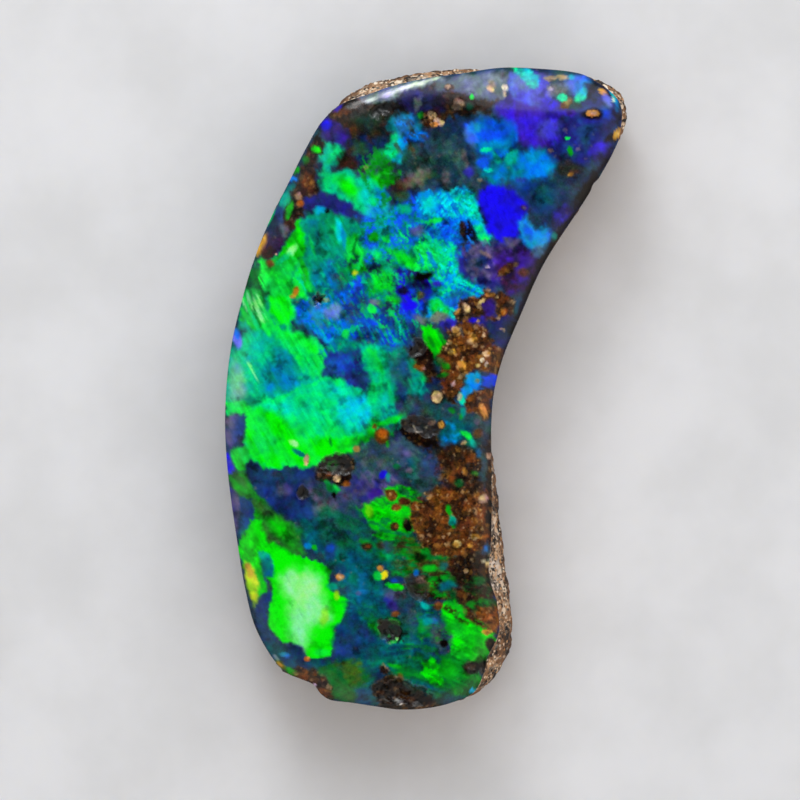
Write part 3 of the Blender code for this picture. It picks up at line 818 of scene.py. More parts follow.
    ("indigo", "violet", "patchy", 24, 16, 0, 100, [39, 282, 135, 290, 239, 290, 255, 234, 175, 234, 103,
        218, 47, 242]),
    ("green", "forest", "steep", 12, 16, 0, 100, [-17, 258, 31, 250, 79, 194, 67, 138, 15, 106, -13, 170]),
    ("umber", "black", "patchy", 16, 16, 40, 100, [-65, 170, -25, 194, 23, 146, 47, 58, -1, 18, -57, 58,
        -77, 114]),
    ("seafoam", "sea", "steep", 32, 16, 0, 100, [-793, 154, -729, 218, -641, 234, -545, 178, -465, 106,
        -417, 42, -325, 26, -257, -30, -297, -94, -425, -62, -545, -46, -657, -70, -745, -94, -809, -66]),
    ("azure", "teal", "steep", 56, 16, 0, 75, [-601, 146, -529, 138, -489, 74, -497, 10, -561, -22, -641,
        -6, -657, 66]),
    ("seafoam", "jade", "steep", 48, 16, 0, 70, [-761, 178, -681, 194, -657, 106, -673, -14, -745, -46,
        -785, 18]),
    ("spring", "jade", "steep", 24, 12, 0, 100, [-641, 258, -577, 242, -505, 230, -445, 198, -401, 158,
        -389, 98, -409, 42, -457, 50, -513, 114, -569, 170, -617, 218]),
    ("green", "spring", "steep", 32, 12, 0, 80, [-601, 246, -521, 230, -465, 194, -425, 146, -481, 146,
        -545, 186]),
    ("jade", "sea", "upright", 32, 20, 0, 100, [-401, 170, -325, 194, -225, 178, -125, 162, -49, 106, -9,
        42, -1, -14, -49, -70, -105, -134, -165, -166, -217, -102, -241, -30, -345, 34]),
    ("slate", "indigo", "plain", 40, 20, 0, 70, [-137, 146, -73, 122, -41, 50, -73, -6, -129, 2, -153, 74]),
    ("spring", "sea", "steep", 24, 16, 0, 100, [-237, 146, -189, 162, -153, 106, -169, 50, -221, 66]),
    ("indigo", "navy", "patchy", 24, 20, 0, 100, [-409, 90, -385, 138, -325, 154, -261, 146, -241, 74, -217,
        18, -233, -26, -273, -18, -313, 18, -353, 38, -401, 38]),
    ("spring", "jade", "steep", 12, 12, 0, 100, [-801, -62, -705, -54, -565, -22, -481, 18, -401, 50, -329,
        30, -281, 10, -241, -38, -205, -94, -193, -142, -225, -198, -289, -246, -365, -266, -425, -294,
        -465, -318, -521, -322, -585, -326, -657, -314, -713, -278, -733, -222, -709, -158, -729, -102,
        -793, -118]),
    ("jade", "turquoise", "steep", 56, 16, 0, 80, [-657, -62, -545, -14, -425, 42, -325, 18, -281, -46,
        -345, -110, -465, -126, -569, -110]),
    ("turquoise", "cyan", "plain", 36, 12, 0, 100, [-385, -6, -313, 22, -253, -30, -209, -102, -233, -150,
        -305, -174, -345, -126, -353, -62]),
    ("green", "spring", "steep", 36, 20, 0, 100, [-713, -78, -601, -94, -521, -174, -385, -198, -281, -182,
        -233, -206, -305, -254, -425, -286, -505, -326, -633, -314, -705, -278, -721, -190]),
    ("leaf", "sea", "patchy", 24, 16, 0, 90, [-217, -102, -153, -158, -89, -102, -89, -142, -145, -190,
        -217, -206, -265, -238, -233, -182]),
    ("navy", "mauve", "plain", 12, 8, 0, 100, [-809, -126, -761, -98, -717, -110, -717, -166, -745, -206,
        -785, -242, -809, -206]),
    ("spring", "leaf", "steep", 12, 12, 0, 100, [-789, -242, -725, -230, -681, -294, -705, -334, -745, -330,
        -777, -294]),
    ("periwinkle", "ultramarine", "plain", 12, 4, 0, 100, [-813, -246, -789, -262, -765, -318, -785, -350,
        -809, -334]),
    ("navy", "midnight", "plain", 12, 12, 0, 100, [-729, -334, -705, -278, -673, -294, -649, -318, -565,
        -318, -505, -318, -457, -326, -417, -398, -385, -466, -465, -518, -565, -510, -633, -470, -685,
        -414, -721, -366]),
    ("slate", "mauve", "plain", 32, 20, 0, 100, [-485, -366, -417, -374, -325, -398, -265, -342, -193, -294,
        -125, -254, -57, -238, 23, -278, 23, -366, -9, -446, -105, -406, -185, -446, -265, -494, -345, -526,
        -445, -494]),
    ("mauve", "indigo", "patchy", 32, 20, 0, 90, [-305, -350, -241, -334, -177, -366, -177, -430, -241,
        -454, -305, -430]),
    ("sage", "slate", "patchy", 40, 24, 0, 80, [-265, -254, -169, -230, -97, -206, -89, -254, -169, -286,
        -241, -310]),
    ("teal", "slate", "patchy", 40, 24, 0, 70, [-89, -294, -9, -270, 31, -342, -9, -438, -73, -430, -105,
        -366]),
    ("black", "umber", "patchy", 12, 20, 50, 100, [-437, -342, -417, -278, -369, -262, -309, -266, -285,
        -306, -297, -366, -337, -398, -385, -370, -433, -366]),
    ("spring", "forest", "slant", 12, 12, 0, 100, [-417, -362, -385, -370, -333, -414, -361, -426, -397,
        -406]),
    ("black", "umber", "patchy", 16, 24, 50, 100, [-97, -114, -45, -106, 15, -130, 59, -174, 55, -246, -9,
        -246, -73, -206, -109, -166]),
    ("sage", "slate", "patchy", 32, 20, 0, 90, [-113, -54, -49, -22, 15, -54, 23, -110, -49, -110, -113,
        -102]),
    ("slate", "deep_teal", "patchy", 28, 20, 0, 100, [15, -62, 95, -38, 167, -78, 183, -146, 207, -226, 159,
        -254, 55, -246, 55, -166, 15, -110]),
    ("teal", "azure", "grainy", 20, 16, 0, 90, [55, -134, 111, -134, 143, -190, 119, -222, 63, -206]),
    # Bottom left
    ("leaf", "moss", "slant", 24, 16, 0, 100, [-793, -342, -745, -334, -697, -398, -633, -466, -565, -518,
        -497, -574, -489, -686, -565, -686, -645, -626, -705, -542, -745, -454, -785, -382]),
    ("indigo", "mauve", "plain", 16, 8, 0, 100, [-801, -390, -753, -406, -741, -526, -757, -574, -785,
        -526]),
    ("navy", "teal", "plain", 12, 12, 0, 100, [-749, -430, -697, -442, -689, -526, -713, -574, -749, -590]),
    ("green", "leaf", "slant", 12, 16, 0, 100, [-753, -638, -717, -566, -697, -526, -661, -530, -649, -606,
        -565, -638, -497, -686, -441, -686, -385, -726, -401, -782, -505, -742, -565, -718, -657, -694,
        -713, -686]),
    ("leaf", "green", "slant", 16, 12, 0, 100, [-761, -626, -705, -670, -657, -694, -641, -814, -673, -846,
        -705, -806, -729, -726]),
    ("green", "green", "plain", 12, 8, 0, 100, [-625, -686, -525, -666, -417, -702, -385, -806, -305, -846,
        -325, -906, -361, -966, -365, -1026, -385, -1070, -433, -1082, -473, -1074, -497, -1026, -585,
        -1014, -629, -946, -633, -886, -617, -786, -649, -742]),
    ("glow", "mint", "plain", 72, 12, 0, 100, [-585, -758, -545, -722, -505, -738, -465, -730, -429, -754,
        -421, -814, -397, -866, -385, -918, -417, -946, -461, -954, -469, -1006, -497, -1054, -537, -998,
        -557, -906, -549, -846, -577, -814]),
    ("teal", "sea", "plain", 12, 8, 0, 100, [-673, -650, -637, -650, -605, -706, -613, -754, -649, -754,
        -657, -694]),
    ("navy", "navy", "plain", 12, 8, 0, 100, [-677, -862, -657, -822, -625, -810, -613, -846, -641, -894,
        -637, -934, -617, -990, -585, -1030, -625, -1054, -661, -998, -685, -926]),
    ("deep_teal", "midnight", "patchy", 16, 12, 0, 100, [-657, -1006, -585, -1022, -501, -1030, -473, -1086,
        -365, -1078, -313, -1118, -417, -1154, -505, -1142, -569, -1102, -633, -1054]),
    ("sulphur", "lime", "plain", 16, 8, 0, 100, [-729, -686, -701, -706, -673, -766, -669, -834, -689, -878,
        -713, -806, -729, -746]),
    ("deep_teal", "teal", "patchy", 48, 24, 0, 100, [-513, -518, -385, -494, -265, -510, -209, -606, -169,
        -686, -185, -806, -153, -870, -73, -946, -25, -1006, 15, -1086, -25, -1166, -125, -1166, -217,
        -1118, -305, -1118, -353, -1046, -305, -894, -305, -806, -373, -714, -433, -654, -497, -626]),
    ("forest", "slate", "shallow", 56, 20, 0, 70, [-433, -486, -297, -470, -217, -526, -217, -626, -325,
        -654, -417, -606]),
    ("teal", "sky", "plain", 64, 20, 0, 60, [-305, -746, -169, -726, -137, -806, -169, -870, -281, -870]),
    ("navy", "deep_teal", "plain", 32, 12, 0, 100, [-365, -958, -305, -906, -241, -942, -201, -1026, -209,
        -1086, -305, -1118, -373, -1086]),
    ("leaf", "deep_teal", "slant", 20, 16, 0, 100, [-285, -854, -217, -870, -153, -918, -161, -974, -193,
        -1006, -237, -934, -265, -894]),
    ("black", "pine", "patchy", 16, 20, 30, 100, [-193, -926, -125, -918, -85, -958, -109, -1010, -169,
        -1002]),
    ("indigo", "teal", "patchy", 28, 16, 0, 85, [-193, -1006, -113, -1010, -73, -1046, -129, -1078, -185,
        -1054]),
    ("moss", "forest", "slant", 28, 20, 0, 100, [-425, -1118, -325, -1086, -257, -1094, -225, -1166, -209,
        -1262, -325, -1266, -401, -1242, -433, -1190]),
    ("olive", "moss", "slant", 24, 16, 0, 90, [-333, -1098, -297, -1074, -253, -1098, -269, -1166, -305,
        -1210, -325, -1154]),
    ("navy", "teal", "plain", 24, 12, 0, 80, [-297, -1206, -217, -1166, -185, -1270, -273, -1274]),
    ("umber", "brown", "grainy", 16, 16, 90, 100, [-569, -1134, -505, -1118, -433, -1134, -385, -1182, -369,
        -1254, -433, -1242, -497, -1206, -561, -1174]),
    # Bottom right
    ("green", "leaf", "brushed", 16, 20, 0, 100, [-273, -478, -193, -438, -137, -414, -97, -446, -65, -478,
        -49, -526, -65, -590, -129, -610, -193, -590, -241, -542]),
    ("leaf", "green", "level", 16, 16, 0, 100, [-169, -406, -113, -378, -41, -398, 7, -446, -41, -478, -105,
        -458]),
    ("forest", "leaf", "brushed", 32, 24, 0, 100, [-257, -598, -105, -590, -5, -626, 63, -666, 143, -686,
        167, -766, 55, -814, -25, -734, -105, -750, -165, -710, -217, -666]),
    ("sea", "deep_teal", "patchy", 28, 20, 0, 80, [-169, -654, -97, -654, -57, -702, -97, -734, -161,
        -718]),
    ("rust", "brown", "grainy", 20, 24, 90, 100, [-73, -454, -9, -414, 55, -386, 175, -398, 255, -406, 263,
        -506, 255, -606, 223, -662, 115, -674, 23, -658, -33, -606, -69, -526]),
    ("umber", "black", "patchy", 24, 20, 70, 100, [87, -678, 175, -658, 247, -666, 263, -746, 247, -806,
        159, -806, 103, -766]),
    ("black", "umber", "patchy", 16, 20, 50, 100, [-73, -766, -9, -742, 55, -790, 87, -838, 15, -862, -49,
        -826]),
    ("leaf", "black", "rings", 16, 12, 0, 100, [7, -766, 55, -750, 87, -798, 79, -834, 31, -838]),
    ("forest", "umber", "patchy", 24, 24, 20, 100, [87, -814, 175, -782, 263, -806, 287, -870, 263, -926,
        199, -910, 119, -862]),
    ("green", "leaf", "brushed", 16, 20, 0, 100, [55, -870, 115, -846, 159, -890, 215, -930, 271, -990, 271,
        -1046, 231, -1094, 155, -1102, 87, -1086, 83, -1006, 71, -934]),
    ("green", "leaf", "brushed", 32, 16, 0, 70, [71, -878, 119, -862, 143, -910, 191, -942, 175, -1006, 111,
        -974]),
    ("deep_teal", "slate", "patchy", 40, 20, 0, 100, [-89, -846, -25, -838, 55, -870, 79, -950, 71, -1030,
        -9, -1054, -57, -1006, -97, -926]),
    ("leaf", "sea", "patchy", 24, 20, 0, 90, [-33, -918, 15, -902, 23, -990, -25, -1006]),
    ("rust", "brown", "grainy", 16, 16, 80, 100, [151, -878, 207, -910, 231, -870, 287, -870, 295, -934,
        271, -982, 231, -958, 175, -934]),
    ("slate", "grey", "patchy", 28, 16, 0, 100, [7, -966, 55, -942, 103, -982, 95, -1022, 39, -1030]),
    ("forest", "deep_teal", "brushed", 32, 24, 0, 100, [-137, -1134, -25, -1054, 75, -1070, 195, -1118, 239,
        -1174, 175, -1230, 55, -1254, -33, -1230]),
    ("green", "leaf", "brushed", 16, 16, 0, 100, [-21, -1090, 15, -1070, 59, -1134, 67, -1190, 23, -1178,
        -13, -1138]),
    ("leaf", "forest", "brushed", 20, 20, 0, 100, [55, -1066, 143, -1086, 207, -1134, 239, -1182, 183,
        -1222, 111, -1222, 63, -1158]),
    ("black", "umber", "patchy", 16, 20, 60, 100, [-229, -1198, -185, -1174, -145, -1138, -105, -1182, -41,
        -1206, 31, -1246, 79, -1278, -25, -1294, -125, -1298, -193, -1270]),
    # Right side, by the hollow
    ("brown", "umber", "grainy", 16, 20, 90, 100, [95, 306, 135, 346, 207, 362, 239, 394, 295, 374, 351,
        354, 343, 282, 287, 258, 231, 282, 175, 282, 127, 258]),
    ("purple", "indigo", "plain", 16, 12, 0, 100, [223, 338, 255, 362, 283, 338, 279, 290, 231, 282]),
    ("rust", "brown", "grainy", 20, 24, 90, 100, [67, 170, 95, 234, 159, 270, 231, 258, 263, 186, 311, 146,
        303, 58, 255, 66, 191, 66, 151, 10, 95, -54, 55, -22, 67, 58, 47, 122]),
    ("indigo", "midnight", "plain", 16, 12, 0, 100, [247, 266, 319, 290, 375, 282, 327, 170, 267, 186]),
    ("sky", "azure", "upright", 16, 12, 0, 100, [139, -22, 167, 50, 207, 70, 227, 42, 215, -6, 175, -46,
        143, -70]),
    ("cobalt", "ultramarine", "plain", 12, 8, 0, 100, [219, 46, 287, 58, 275, 10, 231, 6]),
    ("rust", "umber", "grainy", 16, 16, 80, 100, [151, -54, 191, -14, 239, 2, 271, -14, 263, -110, 223,
        -126, 167, -94]),
    ("umber", "brown", "grainy", 28, 24, 80, 100, [31, -262, 111, -230, 207, -246, 247, -326, 215, -406,
        103, -414, 47, -358]),
    ("umber", "black", "patchy", 24, 16, 50, 90, [239, -206, 271, -166, 271, -686, 247, -670, 239, -446]),
    ("ink", "black", "plain", 28, 12, 0, 95, [743, 954, 695, 834, 663, 770, 607, 674, 535, 570, 475, 474,
        431, 378, 391, 282, 351, 170, 311, 66, 287, 34, 295, 106, 327, 202, 359, 306, 391, 402, 447, 514,
        503, 594, 567, 698, 623, 802, 679, 882]),
    # Crumbs of one colour strewn over another
    ("jade", "spring", "crumbs", 48, 20, 0, 75, [-353, 506, -217, 562, -65, 506, -9, 394, -25, 234, -121,
        170, -257, 194, -361, 226, -433, 330, -417, 434]),
    ("teal", "turquoise", "crumbs", 48, 20, 0, 65, [-521, 482, -345, 506, -185, 354, -89, 194, -185, 146,
        -385, 178, -505, 234, -545, 354]),
    ("indigo", "navy", "crumbs", 48, 20, 0, 70, [-385, 506, -169, 554, -9, 474, 15, 314, -65, 174, -217,
        194, -353, 274]),
    ("cobalt", "azure", "crumbs", 48, 20, 0, 70, [-233, 698, -105, 770, 79, 802, 175, 730, 191, 554, 103,
        354, -25, 354, -137, 506, -225, 594]),
    ("leaf", "forest", "crumbs", 32, 20, 0, 80, [-281, 954, -137, 954, -97, 850, -113, 730, -217, 714, -297,
        810]),
    ("turquoise", "spring", "crumbs", 32, 20, 0, 80, [-137, 626, 15, 690, 143, 554, 103, 354, -25, 370,
        -113, 474]),
    ("slate", "sage", "crumbs", 48, 20, 0, 40, [-137, 1106, 55, 1106, 175, 994, 175, 794, 15, 770, -105,
        874]),
    ("slate", "midnight", "crumbs", 48, 20, 0, 50, [-297, -126, -105, -62, 55, -126, 71, -326, -25, -526,
        -185, -486, -281, -326]),
    ("umber", "black", "crumbs", 32, 20, 40, 85, [23, -686, 199, -670, 263, -806, 255, -966, 135, -934, 15,
        -846, -105, -862, -137, -782, -57, -726]),
    ("leaf", "forest", "crumbs", 56, 20, 0, 60, [-105, -686, 95, -710, 247, -846, 239, -1006, 175, -1206,
        15, -1230, -137, -1150, -89, -1006, -25, -886]),
    ("deep_teal", "midnight", "crumbs", 48, 20, 0, 50, [-345, -446, -105, -446, -41, -686, -25, -1006, -105,
        -1166, -265, -1166, -345, -1006, -297, -726]),
    ("teal", "cobalt", "crumbs", 32, 20, 0, 60, [-433, 194, -305, 210, -217, 154, -201, 34, -257, -22, -329,
        34, -409, 90]),
    ("sage", "teal", "crumbs", 40, 20, 0, 45, [-521, 490, -329, 466, -217, 354, -305, 250, -465, 234, -545,
        354]),
    ("umber", "brown", "crumbs", 48, 20, 20, 50, [-321, 1138, -113, 1138, 15, 1042, -25, 914, -169, 954,
        -297, 970, -361, 1042]),
    ("umber", "rust", "crumbs", 40, 20, 30, 45, [-121, -526, 23, -574, 175, -686, 207, -846, 55, -870, -89,
        -806, -153, -670]),
]
FIRST_SEED = 31

# Spots: colour, centre, half length and half width, degrees turned, softness as a share of the size,
# raggedness, rockiness and strength
SPOTS = [
    ("mint", -733, 350, 6, 48, 26, 70, 0, 0, 80), ("spring", -709, 318, 7, 64, 25, 80, 0, 0, 90),
    ("mint", -657, 330, 6, 60, 24, 80, 0, 0, 75), ("spring", -629, 282, 8, 56, 28, 80, 4, 0, 90),
    ("jade", -681, 258, 8, 48, 24, 80, 4, 0, 80), ("spring", -601, 266, 6, 40, 30, 80, 0, 0, 80),
    ("forest", -693, 362, 6, 48, 24, 80, 0, 0, 70), ("forest", -669, 266, 5, 40, 26, 80, 0, 0, 60),
    ("spring", -521, 506, 8, 48, 30, 80, 4, 0, 70), ("leaf", -489, 482, 10, 56, 20, 80, 4, 0, 80),
    ("spring", -457, 570, 8, 40, 14, 90, 4, 0, 60), ("kelp", -417, 626, 12, 48, 10, 90, 8, 0, 70),
    ("spring", -305, 546, 8, 48, -12, 80, 4, 0, 80), ("spring", -265, 506, 6, 40, -16, 80, 4, 0, 80),
    ("forest", -285, 578, 6, 40, -10, 80, 4, 0, 60), ("black", -185, 1118, 52, 16, 33, 50, 8, 0, 100),
    ("brown", -337, 1102, 56, 16, 12, 80, 12, 20, 80), ("ultramarine", -397, 1050, 24, 20, 0, 80, 8, 0, 100),
    ("violet", -353, 1122, 20, 12, 40, 80, 4, 0, 80), ("spring", -309, 794, 72, 32, -42, 90, 12, 0, 100),
    ("green", -317, 806, 36, 24, -42, 90, 8, 0, 90), ("turquoise", -241, 762, 40, 28, -30, 90, 12, 0, 80),
    ("moss", -265, 962, 36, 24, 20, 90, 16, 0, 60), ("brown", -289, 1042, 16, 8, 10, 80, 4, 0, 60),
    ("tan", -241, 886, 12, 8, 0, 80, 4, 0, 50), ("green", -441, 954, 16, 20, 70, 70, 8, 0, 100),
    ("leaf", -517, 874, 16, 10, 60, 70, 4, 0, 100), ("leaf", -481, 914, 12, 16, 60, 80, 4, 0, 60),
    ("azure", -533, 838, 20, 8, 0, 70, 4, 0, 90), ("teal", -541, 806, 20, 12, 40, 70, 4, 0, 100),
    ("sea", -569, 750, 16, 44, -20, 70, 8, 0, 100), ("leaf", -549, 714, 12, 36, -12, 70, 8, 0, 100),
    ("jade", -625, 682, 10, 40, -27, 70, 4, 0, 100), ("navy", -589, 702, 16, 28, -25, 80, 8, 0, 90),
    ("grey", -569, 634, 24, 28, 0, 90, 12, 0, 60), ("brown", -477, 830, 32, 36, 0, 60, 12, 50, 100),
    ("tan", -513, 770, 16, 12, 0, 70, 8, 50, 80), ("orange", -505, 742, 16, 14, 0, 60, 4, 40, 90),
    ("amber", -657, 574, 48, 14, 66, 35, 4, 30, 100), ("plum", -609, 582, 48, 36, 45, 70, 16, 0, 100),
    ("umber", -633, 546, 32, 24, 40, 70, 12, 0, 100), ("rust", -625, 502, 20, 16, 0, 80, 8, 30, 90),
    ("cream", -601, 538, 6, 4, 0, 60, 0, 20, 100), ("mint", -537, 550, 28, 14, 42, 80, 8, 0, 90),
    ("jade", -569, 522, 32, 12, 35, 90, 8, 0, 80), ("cyan", -353, 630, 14, 52, 4, 80, 8, 0, 95),
    ("azure", -333, 602, 10, 40, 8, 80, 8, 0, 80), ("yellow", -285, 462, 12, 10, 0, 80, 4, 0, 70),
    ("spring", -657, 418, 5, 36, 27, 60, 0, 0, 100), ("mint", -669, 306, 9, 64, 22, 70, 4, 0, 80),
    ("mint", -705, 346, 6, 40, 20, 70, 4, 0, 70), ("spring", -641, 234, 12, 36, 30, 80, 8, 0, 90),
    ("black", -397, 710, 10, 12, 0, 50, 4, 0, 100), ("cyan", -425, 714, 24, 16, 0, 80, 8, 0, 80),
    ("orange", -521, 390, 12, 18, -20, 70, 4, 20, 90), ("amber", -533, 370, 12, 8, 0, 70, 4, 20, 90),
    ("leaf", -213, 606, 20, 20, 0, 50, 8, 0, 100), ("spring", -161, 594, 16, 16, 0, 50, 8, 0, 80),
    ("sea", -89, 718, 32, 24, 0, 80, 12, 0, 90), ("moss", -93, 770, 32, 16, 10, 90, 12, 0, 60),
    ("cyan", 15, 738, 36, 32, 0, 80, 12, 0, 80), ("azure", -9, 770, 28, 20, 20, 80, 12, 0, 90),
    ("mauve", -33, 626, 28, 24, 0, 90, 12, 0, 80), ("spring", 39, 670, 36, 12, 5, 70, 8, 0, 90),
    ("umber", 143, 642, 12, 28, 0, 70, 8, 20, 80), ("mauve", 191, 546, 24, 16, 20, 80, 8, 10, 90),
    ("tan", 239, 534, 24, 10, -25, 80, 8, 20, 60), ("bone", 243, 486, 9, 6, 0, 50, 0, 20, 90),
    ("sky", 175, 594, 5, 24, 40, 60, 0, 0, 90), ("umber", 327, 474, 52, 16, 35, 60, 12, 50, 100),
    ("brown", 311, 466, 24, 16, 30, 70, 8, 50, 90), ("brown", 391, 462, 20, 16, 0, 80, 8, 40, 80),
    ("navy", 219, 506, 24, 24, 0, 90, 12, 0, 70), ("purple", 391, 722, 12, 16, 60, 80, 4, 0, 100),
    ("mauve", 391, 722, 6, 10, 60, 80, 0, 0, 80), ("purple", 383, 834, 20, 12, 0, 90, 8, 0, 60),
    ("mauve", 343, 594, 36, 16, 0, 90, 12, 0, 70), ("cobalt", 239, 1018, 32, 28, 0, 80, 12, 0, 90),
    ("periwinkle", 175, 1010, 18, 36, 10, 100, 16, 0, 40), ("sky", 191, 1042, 24, 24, 0, 90, 8, 0, 70),
    ("turquoise", 239, 954, 24, 10, 5, 50, 4, 0, 100), ("turquoise", 247, 874, 20, 9, -5, 50, 4, 0, 90),
    ("sea", 343, 922, 32, 20, 48, 80, 12, 0, 100), ("jade", 283, 922, 16, 28, 30, 80, 12, 0, 70),
    ("cobalt", 231, 898, 24, 24, 0, 80, 12, 0, 90), ("violet", 167, 866, 20, 24, 0, 90, 12, 0, 60),
    ("tan", 215, 834, 8, 12, 60, 80, 4, 10, 60), ("violet", 695, 962, 44, 28, 30, 90, 16, 0, 90),
    ("violet", 543, 690, 44, 24, 50, 90, 16, 0, 70), ("purple", 583, 1106, 20, 16, 0, 70, 8, 0, 100),
    ("mauve", 447, 546, 32, 20, 30, 90, 12, 0, 60), ("cobalt", 719, 1106, 32, 24, -40, 90, 12, 0, 60),
    ("navy", 635, 1026, 48, 28, 0, 90, 16, 0, 80), ("spring", 563, 1002, 11, 7, 0, 50, 4, 0, 100),
    ("leaf", 575, 950, 10, 20, 20, 50, 4, 0, 100), ("tan", 499, 954, 11, 8, 0, 70, 4, 10, 80),
    ("mauve", 607, 958, 9, 8, 0, 70, 0, 10, 90), ("mauve", 555, 1034, 10, 8, 0, 70, 0, 0, 80),
    ("umber", 575, 882, 48, 32, 0, 80, 16, 20, 70), ("amber", 579, 858, 14, 9, 20, 70, 4, 30, 90),
    ("black", 667, 1098, 40, 24, 0, 60, 8, 20, 90), ("amber", 667, 1102, 26, 14, 0, 30, 4, 30, 100),
    ("cream", 671, 1102, 14, 6, 0, 70, 0, 30, 70), ("black", 743, 1002, 28, 20, 20, 70, 8, 20, 80),
    ("amber", 763, 1018, 28, 14, 62, 35, 4, 30, 100), ("cream", 767, 1022, 16, 6, 62, 70, 0, 30, 60),
    ("umber", 527, 582, 16, 32, -35, 80, 8, 0, 80), ("sea", 515, 610, 12, 16, 0, 80, 4, 0, 80),
    ("cobalt", 407, 626, 16, 36, 20, 90, 8, 0, 60), ("navy", 487, 734, 56, 40, 30, 90, 20, 0, 60),
    ("deep_teal", 471, 770, 36, 48, 0, 90, 16, 0, 70), ("tan", 127, 1134, 24, 20, 20, 50, 8, 60, 95),
    ("umber", 91, 1202, 20, 16, 0, 60, 8, 30, 90), ("tan", 87, 1206, 12, 10, 0, 60, 4, 50, 100),
    ("umber", 23, 1078, 48, 36, 0, 60, 16, 60, 100), ("cream", 23, 1094, 16, 14, 0, 60, 8, 70, 90),
    ("bone", 43, 1074, 13, 10, 0, 60, 4, 70, 100), ("amber", 31, 1054, 16, 12, 0, 50, 4, 70, 100),
    ("cream", 59, 1062, 12, 12, 0, 60, 4, 70, 80), ("brown", -1, 1066, 14, 16, 0, 60, 4, 60, 90),
    ("grey", -33, 1138, 12, 36, -20, 90, 12, 10, 60), ("spring", 183, 1166, 10, 10, 0, 50, 4, 0, 100),
    ("pine", 175, 1130, 16, 16, 0, 70, 8, 0, 100), ("leaf", -21, 1094, 14, 16, 0, 70, 8, 0, 80),
    ("cream", 255, 1202, 18, 12, -40, 50, 4, 20, 100), ("tan", 263, 1218, 20, 12, -40, 70, 8, 20, 70),
    ("bone", 315, 1206, 12, 12, 0, 50, 4, 20, 100), ("cream", 315, 1178, 6, 16, 10, 70, 4, 20, 70),
    ("tan", 495, 1242, 24, 11, 0, 60, 4, 40, 90), ("tan", 543, 1246, 24, 10, -8, 60, 4, 40, 90),
    ("grey", 507, 1194, 24, 28, 0, 80, 12, 20, 90), ("bone", 499, 1198, 10, 9, 0, 60, 4, 30, 90),
    ("rust", 559, 1142, 28, 16, 35, 60, 8, 40, 90), ("tan", 567, 1150, 12, 16, -30, 60, 4, 40, 70),
    ("turquoise", 543, 1166, 18, 16, -30, 50, 8, 0, 100),
    ("turquoise", 615, 1166, 24, 18, 20, 60, 8, 0, 100), ("cyan", 627, 1186, 16, 16, 0, 80, 8, 0, 80),
    ("cyan", 579, 1250, 12, 12, 0, 80, 4, 0, 70), ("grey", 535, 1202, 28, 20, 0, 90, 12, 10, 70),
    # The periwinkle spot at the tip is a painted highlight
    ("amber", 707, 1186, 18, 12, -35, 60, 4, 30, 100), ("periwinkle", 723, 1154, 16, 28, 25, 80, 8, 0, 80),
    ("lavender", -373, 306, 36, 28, 0, 90, 16, 0, 75), ("sky", -437, 306, 28, 24, 0, 90, 16, 0, 70),
    ("mauve", -433, 322, 12, 12, 0, 80, 8, 0, 50), ("black", -429, 354, 18, 10, 0, 40, 4, 0, 100),
    ("tan", -401, 354, 12, 8, 0, 70, 4, 10, 60), ("spring", -217, 318, 16, 20, 35, 50, 8, 0, 100),
    ("spring", -321, 218, 16, 20, -20, 60, 8, 0, 90), ("black", -9, 450, 40, 16, 15, 70, 12, 0, 100),
    ("ultramarine", -65, 330, 32, 20, 10, 80, 8, 0, 100), ("olive", -21, 374, 16, 16, 0, 70, 8, 30, 90),
    ("amber", -21, 378, 8, 6, 0, 70, 4, 30, 70), ("grey", 55, 282, 36, 18, 10, 70, 12, 20, 95),
    ("grey", -21, 278, 32, 16, -5, 80, 12, 10, 80), ("violet", 43, 418, 20, 12, 0, 80, 8, 0, 90),
    ("ink", -89, 394, 20, 16, 0, 80, 8, 0, 90), ("tan", -205, 346, 20, 12, 0, 90, 8, 10, 50),
    ("cobalt", -233, 266, 40, 16, -20, 80, 12, 0, 80), ("turquoise", -105, 234, 4, 36, 4, 60, 0, 0, 70),
    ("sea", -121, 242, 4, 32, 4, 60, 0, 0, 70), ("sea", -89, 226, 4, 32, 4, 60, 0, 0, 60),
    ("rust", -25, 86, 20, 12, 0, 70, 8, 50, 100), ("tan", -9, 82, 8, 6, 0, 70, 4, 50, 70),
    ("black", -49, 146, 20, 20, 0, 70, 8, 30, 100), ("periwinkle", -757, 198, 18, 40, 14, 60, 4, 0, 100),
    # The two milky spots on the left edge are painted reflection of the lamps in the rounded edge
    ("azure", -757, 218, 12, 20, 10, 80, 4, 0, 80), ("milk", -757, 42, 32, 80, 6, 90, 12, 0, 55),
    ("milk", -753, -30, 40, 36, 0, 90, 12, 0, 40), ("mint", -697, 74, 5, 52, 28, 70, 0, 0, 70),
    ("mint", -529, -218, 22, 12, -35, 60, 4, 0, 95), ("teal", -509, -258, 32, 10, -30, 50, 4, 0, 100),
    ("tan", -477, -286, 10, 20, -8, 50, 4, 40, 100), ("cream", -481, -298, 6, 10, 0, 60, 0, 40, 100),
    ("amber", -277, -242, 12, 12, 0, 60, 4, 30, 90), ("turquoise", -305, -146, 28, 16, -35, 90, 8, 0, 80),
    ("leaf", -305, -218, 52, 20, 10, 90, 12, 0, 60), ("forest", -381, -214, 6, 20, 10, 80, 4, 0, 80),
    ("teal", -693, -54, 24, 20, 0, 90, 12, 0, 70), ("indigo", -105, -14, 24, 40, 20, 90, 16, 0, 70),
    ("indigo", -105, -62, 16, 32, -20, 90, 8, 0, 50), ("forest", -373, -306, 28, 24, 0, 50, 8, 10, 100),
    ("leaf", -373, -302, 20, 16, 0, 40, 8, 10, 90), ("black", -373, -306, 10, 10, 0, 60, 4, 30, 100),
    # The cream spot at the middle hollow is a painted highlight in the pit
